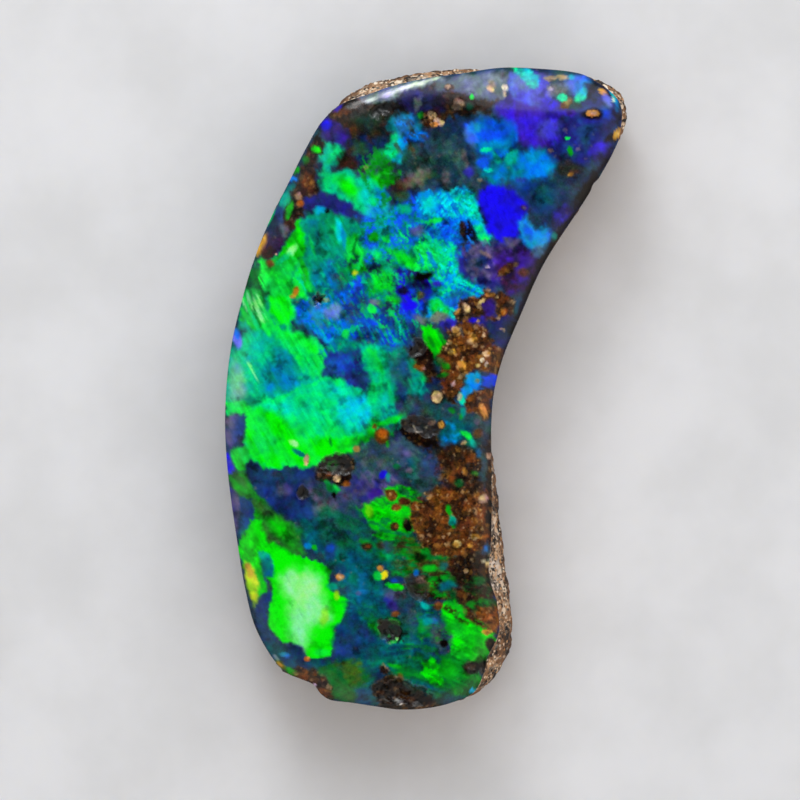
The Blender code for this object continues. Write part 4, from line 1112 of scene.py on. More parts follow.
    ("rust", -389, -342, 12, 10, 0, 70, 4, 50, 90), ("cream", -357, -358, 16, 16, 0, 40, 4, 50, 100),
    ("rust", -317, -382, 14, 12, 0, 70, 4, 50, 100), ("black", -493, -418, 24, 20, -20, 70, 8, 20, 95),
    ("black", -369, -426, 10, 12, 0, 60, 4, 20, 100), ("umber", -597, -342, 20, 16, 0, 90, 8, 10, 50),
    ("mauve", -569, -406, 32, 24, 0, 90, 12, 0, 50), ("brown", -177, -190, 30, 30, 0, 40, 4, 30, 100),
    ("orange", -177, -182, 20, 18, 0, 80, 4, 30, 100), ("rust", -205, -154, 10, 10, 0, 60, 4, 30, 90),
    ("leaf", -153, -222, 8, 16, 0, 70, 4, 0, 80), ("umber", 43, -34, 28, 28, 0, 60, 8, 30, 90),
    ("cream", 43, -34, 22, 24, 0, 25, 2, 30, 100), ("umber", 59, -146, 20, 20, 0, 60, 4, 40, 90),
    ("amber", 59, -146, 14, 14, 0, 35, 2, 40, 100), ("tan", 23, -138, 14, 10, 20, 50, 4, 50, 100),
    # The thin bone and grey spots here are painted glints of light in the black pit
    ("bone", -45, -158, 4, 20, 20, 60, 4, 40, 90), ("bone", -29, -174, 14, 4, 10, 60, 4, 40, 90),
    ("bone", 3, -154, 10, 4, 35, 60, 4, 40, 80), ("grey", -61, -142, 8, 4, 0, 60, 4, 40, 70),
    ("ultramarine", -173, -346, 14, 20, -30, 60, 4, 0, 100),
    ("purple", -205, -418, 28, 20, 30, 70, 8, 0, 90), ("sea", -153, -358, 10, 20, 0, 80, 4, 0, 70),
    ("forest", -121, -310, 16, 12, -20, 60, 4, 0, 80), ("ink", -97, -326, 40, 24, 0, 90, 16, 0, 50),
    ("mauve", -69, -326, 16, 10, 0, 70, 4, 0, 80), ("spring", 163, -186, 24, 14, -35, 60, 8, 0, 100),
    ("cyan", 187, -218, 12, 20, 35, 80, 4, 0, 80), ("azure", 207, -254, 12, 24, 20, 90, 8, 0, 60),
    ("leaf", 103, -90, 16, 10, -30, 70, 8, 0, 70), ("sea", 151, -94, 12, 20, 0, 80, 8, 0, 80),
    ("leaf", 139, -114, 8, 12, 0, 80, 4, 0, 60), ("mauve", 207, -130, 16, 16, 0, 80, 8, 0, 70),
    ("rust", 207, -178, 20, 16, 0, 70, 8, 50, 80), ("tan", 151, -218, 12, 8, 20, 60, 4, 50, 90),
    ("tan", 251, -270, 12, 10, 0, 60, 4, 50, 100), ("amber", 155, -334, 10, 20, 25, 60, 4, 50, 90),
    ("rust", 175, -274, 20, 20, 0, 80, 12, 50, 80), ("slate", 231, -318, 12, 64, 0, 80, 8, 0, 80),
    ("rust", 103, -366, 16, 12, 0, 70, 8, 40, 90), ("forest", 135, -378, 20, 12, 0, 80, 8, 0, 80),
    ("leaf", 199, -342, 20, 12, -20, 80, 8, 0, 50), ("yellow", -169, -746, 14, 20, -30, 40, 2, 10, 100),
    ("amber", -185, -718, 12, 12, 0, 60, 2, 20, 100), ("spring", -197, -746, 16, 20, 20, 70, 8, 0, 90),
    ("navy", -121, -762, 28, 12, 5, 50, 4, 0, 100), ("cobalt", -129, -766, 16, 8, 0, 70, 4, 0, 80),
    ("green", -121, -794, 32, 14, -10, 40, 4, 0, 100), ("spring", -153, -782, 12, 8, 0, 70, 4, 0, 90),
    ("amber", -345, -754, 18, 14, 0, 50, 2, 30, 100), ("cream", -341, -754, 10, 7, 0, 80, 0, 30, 80),
    ("lime", -357, -826, 12, 20, 0, 70, 4, 0, 80), ("sea", -377, -790, 24, 16, 0, 80, 8, 0, 80),
    ("teal", -337, -778, 16, 16, 0, 80, 8, 0, 70), ("azure", -473, -630, 16, 12, 0, 70, 4, 0, 70),
    ("leaf", -449, -634, 12, 12, 0, 50, 4, 0, 100), ("navy", -385, -650, 24, 32, 0, 90, 12, 0, 90),
    ("cobalt", -385, -642, 16, 16, 0, 90, 8, 0, 60), ("navy", -345, -718, 24, 24, 0, 90, 12, 0, 70),
    ("amber", -713, -714, 12, 16, 0, 80, 4, 10, 80), ("yellow", -693, -830, 12, 16, 0, 80, 4, 0, 60),
    ("amber", -705, -742, 12, 20, 0, 90, 4, 0, 60), ("orange", -477, -1082, 12, 10, 0, 60, 2, 20, 90),
    ("amber", -473, -1078, 8, 6, 0, 70, 0, 20, 80), ("lime", -409, -914, 16, 36, -5, 90, 8, 0, 60),
    ("spring", -417, -1054, 32, 16, 0, 90, 8, 0, 70), ("mint", -481, -806, 56, 32, 80, 90, 16, 0, 60),
    # The small milky streak at the lower left corner is a painted reflection in the rounded edge
    ("sky", -565, -1066, 20, 10, -10, 70, 4, 0, 70), ("milk", -601, -1074, 16, 6, -45, 70, 4, 0, 70),
    ("olive", -581, -1106, 28, 12, -48, 60, 8, 20, 100), ("amber", -585, -1102, 16, 6, -48, 80, 4, 20, 70),
    ("leaf", -541, -1134, 24, 14, -30, 80, 8, 0, 80), ("rust", -489, -1154, 16, 10, 0, 70, 4, 60, 70),
    ("bone", -445, -1190, 6, 10, 0, 60, 0, 60, 90), ("tan", -521, -1142, 12, 6, -20, 60, 4, 60, 60),
    ("violet", -153, -846, 24, 20, 0, 90, 12, 0, 60), ("mauve", -129, -826, 40, 24, 0, 90, 16, 0, 50),
    ("purple", -137, -874, 24, 20, 0, 90, 12, 0, 70), ("rust", -125, -902, 18, 12, 0, 60, 4, 30, 90),
    ("mauve", -273, -818, 12, 8, 0, 80, 4, 0, 60), ("black", -173, -958, 20, 24, 0, 60, 8, 30, 90),
    ("leaf", -125, -934, 24, 12, -30, 80, 8, 0, 80), ("spring", -137, -1014, 20, 6, 10, 60, 4, 0, 90),
    ("mint", -117, -1002, 6, 6, 0, 60, 0, 0, 90), ("sea", -101, -1014, 8, 6, 0, 60, 0, 0, 80),
    ("spring", -149, -990, 6, 6, 0, 60, 0, 0, 80), ("lime", -233, -486, 16, 24, 0, 80, 12, 0, 60),
    ("rust", -141, -426, 24, 22, 0, 40, 8, 60, 100), ("amber", -145, -422, 6, 5, 0, 60, 0, 60, 70),
    ("rust", -121, -474, 20, 16, 0, 50, 8, 60, 100), ("brown", -89, -450, 24, 18, 0, 50, 8, 60, 100),
    ("umber", -129, -554, 18, 18, 0, 40, 4, 50, 100), ("brown", -129, -550, 10, 10, 0, 80, 4, 50, 90),
    ("black", -77, -550, 20, 26, 0, 50, 8, 30, 100), ("umber", -237, -630, 20, 16, 0, 70, 12, 30, 90),
    ("rust", -233, -630, 10, 7, 0, 70, 4, 30, 80), ("umber", -185, -630, 16, 20, 0, 80, 12, 20, 80),
    ("slate", -153, -630, 24, 24, 0, 90, 12, 0, 80), ("umber", -97, -626, 16, 16, 0, 80, 12, 20, 70),
    ("leaf", 15, -718, 28, 16, 0, 80, 12, 0, 100), ("black", -25, -678, 24, 20, 0, 80, 12, 20, 80),
    ("teal", 71, -710, 20, 20, 0, 90, 12, 0, 70), ("azure", -41, -738, 10, 14, 0, 70, 4, 0, 70),
    ("cream", 123, -622, 18, 14, 0, 35, 2, 60, 100), ("amber", 119, -626, 14, 10, 0, 80, 2, 60, 80),
    ("amber", 175, -630, 11, 9, 0, 40, 2, 60, 100), ("amber", 203, -594, 24, 12, 8, 50, 8, 60, 90),
    ("cream", 195, -602, 12, 4, 15, 60, 4, 60, 80), ("tan", 227, -442, 20, 18, 0, 50, 4, 40, 100),
    ("cream", 223, -438, 10, 8, 0, 80, 0, 40, 80), ("leaf", 91, -486, 9, 24, 25, 50, 8, 0, 100),
    ("sea", 107, -526, 14, 20, 10, 60, 8, 0, 100), ("leaf", 111, -550, 8, 8, 0, 60, 4, 0, 90),
    ("rust", 87, -414, 36, 12, 0, 80, 12, 70, 100), ("amber", 79, -438, 12, 6, 0, 80, 4, 70, 60),
    ("black", 263, -542, 12, 56, 4, 60, 4, 20, 95), ("slate", 243, -638, 16, 20, 0, 70, 8, 0, 90),
    ("sky", 239, -638, 8, 10, 0, 80, 4, 0, 60), ("orange", 231, -578, 20, 20, 0, 80, 8, 50, 60),
    ("tan", 159, -730, 10, 9, 0, 60, 2, 50, 90), ("rust", 127, -658, 20, 12, 0, 80, 8, 60, 80),
    ("teal", 83, -790, 36, 20, 0, 80, 12, 0, 90), ("umber", 159, -838, 36, 16, 0, 70, 12, 40, 100),
    ("rust", 143, -822, 20, 12, 0, 80, 8, 40, 70), ("forest", 207, -766, 32, 20, 0, 80, 12, 0, 70),
    ("leaf", 183, -862, 24, 16, -30, 80, 12, 0, 70), ("tan", -25, -766, 16, 14, -20, 40, 4, 50, 100),
    ("rust", 47, -870, 20, 16, 0, 70, 8, 50, 90), ("turquoise", -5, -870, 20, 12, -35, 80, 8, 0, 80),
    ("sky", 31, -934, 16, 12, 0, 80, 8, 0, 50), ("sea", 7, -934, 20, 16, 0, 80, 8, 0, 80),
    ("black", 71, -1018, 16, 16, 0, 50, 4, 30, 100), ("rust", 239, -902, 36, 24, 0, 60, 12, 60, 100),
    ("orange", 247, -918, 16, 12, 0, 80, 8, 60, 60), ("amber", 243, -974, 19, 12, 0, 35, 4, 50, 100),
    ("umber", 179, -914, 20, 12, 0, 70, 8, 40, 90), ("black", 259, -1030, 20, 32, 20, 60, 8, 50, 100),
    ("black", 183, -1114, 36, 24, 0, 60, 8, 40, 100), ("brown", 179, -1114, 20, 12, 0, 80, 4, 40, 90),
    ("grey", 175, -1118, 8, 8, 0, 80, 4, 40, 60), ("black", 239, -1118, 24, 32, 30, 70, 8, 50, 90),
    ("cyan", 187, -1210, 14, 10, -30, 50, 2, 0, 100), ("leaf", -125, -1110, 28, 10, -20, 70, 8, 0, 90),
    ("umber", -169, -1126, 20, 16, -40, 60, 8, 50, 100), ("tan", -161, -1114, 24, 4, -45, 60, 4, 50, 70),
    ("tan", -121, -1158, 20, 4, -55, 60, 4, 50, 70), ("rust", -105, -1158, 12, 20, 10, 70, 4, 50, 80),
    ("tan", -65, -1190, 32, 3, -30, 60, 4, 50, 50), ("tan", -9, -1218, 32, 3, -25, 60, 4, 40, 45),
    ("rust", -181, -1218, 18, 12, 0, 60, 4, 90, 100), ("orange", -177, -1214, 10, 7, 0, 80, 2, 90, 70),
    ("brown", -89, -1230, 28, 16, 0, 70, 8, 90, 100), ("rust", -65, -1242, 20, 10, 0, 70, 4, 90, 90),
    # The thin bone spot in the foot hollow is a painted glint
    ("rust", -121, -1198, 16, 8, 20, 70, 4, 90, 70), ("bone", -117, -1250, 24, 6, -38, 40, 2, 80, 100),
    ("tan", -185, -1246, 6, 6, 0, 60, 0, 70, 70), ("cream", 119, 230, 18, 22, 15, 40, 4, 70, 90),
    ("amber", 119, 226, 14, 18, 15, 90, 2, 70, 80), ("grey", 143, 226, 6, 20, 15, 70, 4, 50, 70),
    ("amber", 103, 146, 16, 14, 0, 50, 4, 70, 100), ("cream", 99, 146, 10, 8, 0, 80, 2, 70, 70),
    ("amber", 139, 90, 20, 22, 0, 40, 4, 70, 100), ("cream", 243, 138, 18, 12, 0, 40, 4, 70, 100),
    ("amber", 251, 142, 8, 8, 0, 80, 0, 70, 80), ("cream", 231, 214, 8, 8, 0, 50, 2, 70, 100),
    ("amber", 187, 202, 16, 20, 40, 70, 4, 70, 90), ("cream", 175, 190, 12, 12, 0, 70, 4, 70, 70),
    ("bone", 223, 114, 12, 8, 60, 60, 4, 70, 90), ("bone", 239, 98, 8, 12, 0, 60, 4, 70, 80),
    ("cream", 207, 90, 8, 8, 0, 60, 4, 70, 80), ("orange", 183, 234, 12, 12, 0, 80, 4, 70, 80),
    ("bone", 91, 182, 12, 6, 35, 60, 4, 60, 70), ("bone", 107, 18, 6, 16, -25, 60, 4, 60, 60),
    ("tan", 143, 50, 20, 10, 30, 70, 4, 60, 90), ("leaf", 79, 90, 16, 16, 0, 80, 8, 0, 80),
    ("leaf", 67, 54, 24, 10, 10, 70, 4, 0, 80), ("forest", 55, 106, 20, 20, 0, 90, 12, 0, 70),
    ("cream", 159, 322, 14, 20, 35, 50, 4, 70, 100), ("amber", 123, 310, 16, 10, 40, 60, 4, 70, 90),
    ("cream", 223, 350, 16, 8, 35, 50, 4, 70, 90), ("amber", 255, 374, 20, 8, 10, 60, 4, 70, 90),
    ("cream", 283, 366, 8, 6, 0, 60, 4, 70, 80), ("tan", 247, 394, 10, 6, 0, 60, 4, 60, 80),
    ("orange", 311, 306, 12, 16, 0, 70, 4, 70, 90), ("cream", 207, 270, 8, 6, 0, 60, 2, 60, 90),
    ("brown", 315, 338, 28, 24, 0, 70, 12, 80, 90), ("deep_teal", 359, 322, 12, 32, -15, 80, 8, 0, 70),
    ("tan", 287, 282, 8, 6, 0, 60, 4, 60, 80), ("ultramarine", 187, 274, 16, 10, 10, 80, 4, 0, 80),
    ("tan", 307, 238, 20, 4, -10, 50, 4, 30, 80), ("turquoise", 143, -42, 12, 28, 25, 60, 8, 0, 100),
    ("cream", 135, -34, 10, 16, 0, 60, 4, 40, 80), ("tan", 207, 30, 8, 8, 0, 60, 4, 40, 70),
    ("rust", 243, -14, 24, 12, -10, 70, 4, 60, 100), ("umber", 203, -62, 12, 16, 0, 70, 8, 50, 100),
    ("amber", 231, -90, 14, 32, 28, 50, 4, 60, 100), ("rust", 179, -38, 16, 12, 30, 80, 4, 60, 100),
    ("bone", 271, -686, 12, 20, -20, 60, 8, 90, 95), ("cream", 251, -706, 16, 12, 20, 60, 8, 90, 90),
    ("bone", 275, -738, 20, 28, -25, 50, 8, 90, 100), ("cream", 295, -782, 16, 28, -15, 60, 8, 90, 95),
    ("tan", 255, -670, 12, 10, 0, 70, 8, 90, 80), ("bone", 231, -694, 12, 6, 20, 70, 8, 80, 70),
    ("brown", 239, -730, 12, 20, -30, 70, 8, 60, 80), ("rust", 283, -714, 6, 6, 0, 60, 4, 80, 80),
    # Past the first spot here, the thin pale spots along the top edge are a painted highlight of the lamp in
    # the rounded edge, and the broad soft spots after them a painted sheen over the blues
    ("umber", 259, -766, 6, 12, -30, 70, 4, 60, 80), ("glint", -221, 1154, 32, 7, 14, 70, 4, 0, 80),
    ("glint", -153, 1178, 36, 9, 18, 70, 4, 0, 95), ("glint", -89, 1202, 36, 9, 20, 70, 4, 0, 100),
    ("glint", -29, 1222, 36, 8, 16, 70, 4, 0, 95), ("glint", 31, 1238, 28, 6, 14, 70, 4, 0, 80),
    ("haze", 167, 1234, 48, 20, 8, 90, 8, 0, 35), ("haze", 279, 1242, 36, 20, 0, 90, 8, 0, 40),
    ("haze", 391, 1218, 40, 28, 10, 100, 12, 0, 35), ("lavender", 455, 1186, 48, 36, 0, 100, 12, 0, 35),
    ("green", -173, 842, 44, 28, 10, 100, 12, 0, 60), ("tan", -53, 846, 56, 28, 20, 100, 16, 0, 36),
    ("rust", -93, 810, 28, 20, 0, 100, 12, 0, 30), ("tan", 155, 922, 10, 36, 10, 100, 8, 0, 30),
    ("tan", 79, 842, 20, 32, 0, 100, 12, 0, 26), ("green", -89, 518, 60, 24, -35, 100, 12, 0, 70),
    ("black", -37, 422, 52, 20, -8, 100, 12, 0, 60), ("abyss", 3, 382, 48, 24, 0, 100, 12, 0, 50),
    ("green", -177, 422, 44, 48, -40, 100, 16, 0, 55), ("green", -125, 362, 24, 20, 0, 100, 8, 0, 60),
    ("green", 43, 338, 36, 20, 0, 100, 12, 0, 50), ("navy", 127, 366, 56, 32, 20, 100, 16, 0, 60),
    ("ultramarine", 139, 506, 16, 48, 10, 100, 12, 0, 35), ("green", -677, -586, 32, 48, 0, 100, 12, 0, 55),
    ("green", -593, -550, 52, 32, -45, 100, 12, 0, 55), ("leaf", -537, -626, 40, 32, -45, 100, 16, 0, 40),
    ("bluebell", 487, 1042, 48, 36, 20, 100, 16, 0, 40), ("cobalt", 391, 810, 44, 36, 0, 100, 16, 0, 45),
    ("black", 259, -474, 7, 32, 0, 70, 4, 50, 85), ("black", 255, -542, 8, 32, -6, 70, 4, 50, 85),
    # At the tip, the cyan and azure strips and the small pale spot are painted reflection and highlight of
    # the lamps in the rounded rim
    ("cyan", 747, 1178, 9, 36, 18, 70, 4, 0, 75), ("azure", 763, 1134, 8, 32, 4, 70, 4, 0, 70),
    ("glint", 747, 1158, 4, 12, 12, 70, 4, 0, 90), ("cobalt", -345, 98, 48, 40, -30, 100, 20, 0, 45),
    ("teal", -313, 170, 64, 28, 0, 100, 16, 0, 50), ("green", -141, -126, 52, 12, 25, 100, 8, 0, 65),
    ("mint", -749, 10, 32, 56, -15, 100, 16, 0, 25), ("black", -5, -210, 36, 16, -20, 100, 8, 20, 70),
    ("black", 43, -242, 32, 16, -30, 100, 8, 20, 60), ("umber", 79, -282, 28, 24, 0, 100, 8, 30, 55),
    ("smoke", -113, -230, 48, 24, 20, 100, 16, 0, 30), ("smoke", -253, -250, 40, 28, 0, 100, 16, 0, 30),
    ("pine", -225, 1066, 64, 44, -10, 100, 20, 10, 55), ("black", -257, 1106, 40, 16, 10, 100, 8, 20, 45),
    ("slate", -505, -358, 96, 32, -5, 100, 20, 0, 30), ("mauve", -569, -406, 52, 28, 0, 100, 20, 0, 20),
]

# The stone


def painted_face(xy):
    """Colour and rockiness of the polished face at points, with the painted highlight and sheen of its
    rounded edge
    """
    canvas = Canvas(xy[:, 0], xy[:, 1])
    for row, (first, second, kind, *numbers, corners) in enumerate(PATCHES):
        corners = np.reshape(corners, (-1, 2)) / 100
        canvas.field(first, second, kind, *(number / 100 for number in numbers), corners, FIRST_SEED + row)
    for name, x, y, half_length, half_width, degrees, *shares in SPOTS:
        place = (x / 100, y / 100, half_length / 100, half_width / 100)
        canvas.blob(name, *place, degrees, *(share / 100 for share in shares))
    finish_canvas(canvas)
    return np.clip(canvas.colour, 0, 1), np.clip(canvas.rock, 0, 1)


# Where the wall's ironstone is pale: centre, radius and how pale
PALE_PLACES = [
    (2.85, -7.40, 1.00, 1.00), (3.10, -5.60, 1.00, 0.85), (3.20, -9.20, 1.40, 0.60),
    (2.60, -11.60, 1.30, 0.45), (-2.10, 12.10, 1.70, 0.75), (0.30, 12.70, 1.90, 0.80),
    (7.60, 11.90, 1.10, 0.75), (7.95, 10.50, 1.00, 0.60), (3.00, -3.60, 0.90, 0.60),
    (-4.80, -12.00, 0.90, 0.35),
]
# From which height on it pales, over what rise, and how much of it shows lower down
PALE_FROM, PALE_RISE, PALE_LEAST = 1.2, 1.2, 0.15

# Painted shade in the face's pits: pits at least this deep are wholly darkened, and how much darker they are
# made
DARK_PIT, PIT_SHADE = 0.05, 0.42
# How much of the fine grit shows
LEAST_GRIT, MOST_GRIT = 0.12, 0.85
# What the polish mirrors adds to every colour, so as much is taken off the paint
POLISH_VEIL = 0.004


def paleness(points):
    """How pale and sandy the ironstone is at points of the wall, from 0 to 1."""
    pale = np.zeros(len(points))
    for x, y, radius, share in PALE_PLACES:
        away = np.hypot(points[:, 0] - x, points[:, 1] - y) / radius
        pale = np.maximum(pale, share * np.clip(1.5 - away, 0, 1))
    return pale * np.clip((points[:, 2] - PALE_FROM) / PALE_RISE, PALE_LEAST, 1)


def stone():
    """The stone as one closed mesh, with its colours and masks as attributes of its points."""
    rings, shares, edge, into = stone_rings(closed_spline(OUTLINE, RING_POINTS))
    count, below = len(edge), len(rings) - 1
    shoulders = [edge[:, :2] + into * inset for inset in SHOULDER_INSETS]
    inner = shoulders[-1]
    grid = well_inside(triangular_grid(inner, FACE_SPACING), inner, FACE_CLEARANCE * FACE_SPACING)
    face_xy = np.vstack([edge[:, :2]] + shoulders + [grid])
    colour, rock = painted_face(face_xy)
    pits = ragged_pits(face_xy)
    # Painted shade: the face's paint is darkened in its pits, the more the deeper they are
    sunk = np.clip(pits / DARK_PIT, 0, 1)
    colour *= (1 - PIT_SHADE * sunk)[:, None]
    face_z = face_surface(face_xy, edge, pits, rock)
    face_z[:count] = rings[-1][:, 2]

    back_xy = rings[0][:, :2]
    back_grid = well_inside(triangular_grid(back_xy, BACK_SPACING), back_xy, BACK_CLEARANCE * BACK_SPACING)
    chips = np.clip(relief(back_grid, BACK_LEVEL, BACK_GRAIN_LENGTH, GRAIN_OCTAVES) - BACK_GRAIN_SINK, 0, 1)
    back_z = pit_depth(back_grid, BACK_HOLLOWS) + BACK_GRAIN * chips

    # The rings of the wall come first, then the face and then the back, kept inside the solid's box
    face, back = np.column_stack([face_xy, face_z]), np.column_stack([back_grid, back_z])
    points = np.vstack(rings[:-1] + [face, back])
    points = np.clip(points, np.array(cad_low) / MM, np.array(cad_high) / MM)
    back_first = below * count + len(face_xy)
    wall, top = slice(0, below * count), slice(below * count, back_first)

    faces = []
    around = np.arange(count)
    after = (around + 1) % count
    strips = below + len(SHOULDER_INSETS)
    for low in range(0, strips * count, count):
        high = low + count
        faces += np.column_stack([low + around, low + after, high + after, high + around]).tolist()
    faces += (cap_faces(np.vstack([inner, grid]), count) + strips * count).tolist()
    back_cap = cap_faces(np.vstack([back_xy, back_grid]), count)
    faces += np.where(back_cap < count, back_cap, back_cap - count + back_first)[:, ::-1].tolist()

    data = bpy.data.meshes.new("opal_stone")
    data.from_pydata((points * MM).tolist(), [], faces)
    data.update()
    data.shade_smooth()

    # The wall carries the colour of the face's edge, for the seam of opal that shows in it
    paint = np.zeros((len(points), 4), np.float32)
    paint[:, 3] = 1
    paint[wall, :3] = np.tile(colour[:count], (below, 1))
    paint[top, :3] = colour
    shown = paint[:, :3]
    lit = np.where(shown <= 0.04045, shown / 12.92, ((shown + 0.055) / 1.055) ** 2.4)
    paint[:, :3] = np.clip(lit - POLISH_VEIL, 0, 1)
    data.attributes.new("paint", "FLOAT_COLOR", "POINT").data.foreach_set("color", paint.ravel())

    elsewhere = {"side": 1.0, "rock": 1.0, "height": -1.0, "lip": 0.0, "grit": 0.0, "pit": 0.0}
    masks = {name: np.full(len(points), value) for name, value in elsewhere.items()}
    masks["side"][top] = 0
    masks["rock"][top] = rock
    masks["height"][wall] = np.repeat(np.array(shares[:-1]), count)
    masks["height"][top] = 1
    masks["lip"][wall] = np.tile(edge[:, 2], below)
    masks["lip"][top] = nearest_edge(face_xy, edge)[1][:, 0]
    # Fine grit shows most in the dark colours and in the ironstone
    masks["grit"][top] = np.clip(1.1 - 2.0 * colour.max(axis=1) + 0.5 * rock, LEAST_GRIT, MOST_GRIT)
    masks["pit"][top] = sunk
    masks["pale"] = paleness(points)
    for name, values in masks.items():
        data.attributes.new(name, "FLOAT", "POINT").data.foreach_set("value", values.astype(np.float32))

    made = bpy.data.objects.new("opal_stone", data)
    bpy.context.scene.collection.objects.link(made)
    return made


# Materials

# Colours of the ironstone, as the screen shows them
IRONSTONE = {
    "deep": (58, 34, 18), "brown": (112, 72, 40), "layer": (126, 78, 42), "sand": (190, 142, 100),
    "chalk": (240, 222, 208), "crack": (28, 17, 11), "hole": (22, 14, 9), "amber": (204, 146, 84),
    "cream": (255, 240, 218),
}
# Sand grains of the wall: size in millimetres, and how rare the dark and the pale ones are
WALL_GRAINS = ((0.62, 0.70, 0.96), (0.36, 0.72, 0.90), (0.22, 0.72, 0.86), (0.13, 0.66, 0.74))
# Stretches of the ground's noise: grains are drawn out upwards, because the wall is seen along its face
DRAWN_OUT, LYING_FLAT = (1.0, 1.0, 0.5), (0.35, 0.35, 2.2)
PALE_LENGTH, BROAD_LENGTH, LAYER_LENGTH, CRACK_LENGTH, SEAM_LENGTH = 1.3, 2.4, 0.9, 0.50, 1.1
GRIT_LENGTH, GRIT_DARK, GRIT_LIGHT = 0.075, (0.70, 0.70, 0.70), (1.30, 1.30, 1.30)
FACE_ROUGHNESS, ROCK_ROUGHNESS, PIT_ROUGHNESS, WALL_ROUGHNESS = 0.17, 0.26, 0.34, 0.72
POLISH_IOR, POLISH_LEVEL = 1.45, 0.36
BUMP_DEPTH, WALL_BUMP, ROCK_BUMP = 0.05, 0.9, 0.12
BUMP_LENGTH, BUMP_CELL, CELL_SHARE = 0.16, 0.26, 0.35

SHEET_SHADES = (222, 223, 226), (232, 233, 237)
SHEET_MOTTLE, SHEET_ROUGHNESS, SHEET_LEVEL = 6.0, 0.85, 0.2
SCATTER_SHARE, SCATTER_RADIUS, SCATTER_DEPTH = 0.7, (1.0, 0.95, 0.85), 3.0


class Nodes:
    """Short calls for building one material's nodes."""

    def __init__(self, name):
        self.material = bpy.data.materials.new(name)
        self.material.use_nodes = True
        self.tree = self.material.node_tree
        self.shader = self.tree.nodes["Principled BSDF"]

    def add(self, kind, **settings):
        node = self.tree.nodes.new(kind)
        for name, value in settings.items():
            setattr(node, name, value)
        return node

    def put(self, value, socket):
        if isinstance(value, (int, float)):
            socket.default_value = value
        elif isinstance(value, tuple):
            socket.default_value = value if len(value) == len(socket.default_value) else (*value, 1)
        else:
            self.tree.links.new(value, socket)

    def value(self, name):
        return self.add("ShaderNodeAttribute", attribute_name=name).outputs["Fac"]

    def colour(self, name):
        return self.add("ShaderNodeAttribute", attribute_name=name).outputs["Color"]

    def math(self, operation, first, second=0.0, clamp=False):
        node = self.add("ShaderNodeMath", operation=operation, use_clamp=clamp)
        self.put(first, node.inputs[0])
        self.put(second, node.inputs[1])
        return node.outputs[0]

    def noise(self, length, detail=3.0, roughness=0.55, coordinates=None):
        node = self.add("ShaderNodeTexNoise")
        node.inputs["Scale"].default_value = 1 / (length * MM)
        node.inputs["Detail"].default_value = detail
        node.inputs["Roughness"].default_value = roughness
        self.put(coordinates or self.place(), node.inputs["Vector"])
        return node.outputs["Fac"]

    def cells(self, length, output="Distance", coordinates=None):
        node = self.add("ShaderNodeTexVoronoi")
        node.inputs["Scale"].default_value = 1 / (length * MM)
        self.put(coordinates or self.place(), node.inputs["Vector"])
        return node.outputs[output]

    def place(self):
        if not hasattr(self, "where"):
            self.where = self.add("ShaderNodeTexCoord").outputs["Object"]
        return self.where

    def stretched(self, scale):
        node = self.add("ShaderNodeVectorMath", operation="MULTIPLY")
        self.put(self.place(), node.inputs[0])
        node.inputs[1].default_value = scale
        return node.outputs[0]

    def between(self, value, low, high, to_low=0.0, to_high=1.0):
        node = self.add("ShaderNodeMapRange", interpolation_type="SMOOTHSTEP")
        self.put(value, node.inputs["Value"])
        node.inputs["From Min"].default_value = low
        node.inputs["From Max"].default_value = high
        node.inputs["To Min"].default_value = to_low
        node.inputs["To Max"].default_value = to_high
        return node.outputs["Result"]

    def mix(self, share, first, second, blend="MIX"):
        node = self.add("ShaderNodeMix", data_type="RGBA", blend_type=blend)
        self.put(share, node.inputs["Factor"])
        self.put(first, node.inputs[6])
        self.put(second, node.inputs[7])
        return node.outputs[2]

    def blend(self, share, first, second):
        node = self.add("ShaderNodeMix", data_type="FLOAT")
        self.put(share, node.inputs["Factor"])
        self.put(first, node.inputs[2])
        self.put(second, node.inputs[3])
        return node.outputs[0]


def linear(red, green, blue):
    """A colour of the screen, 0 to 255, as the linear values that shaders take."""
    shares = (red / 255, green / 255, blue / 255)
    return tuple(v / 12.92 if v <= 0.04045 else ((v + 0.055) / 1.055) ** 2.4 for v in shares)


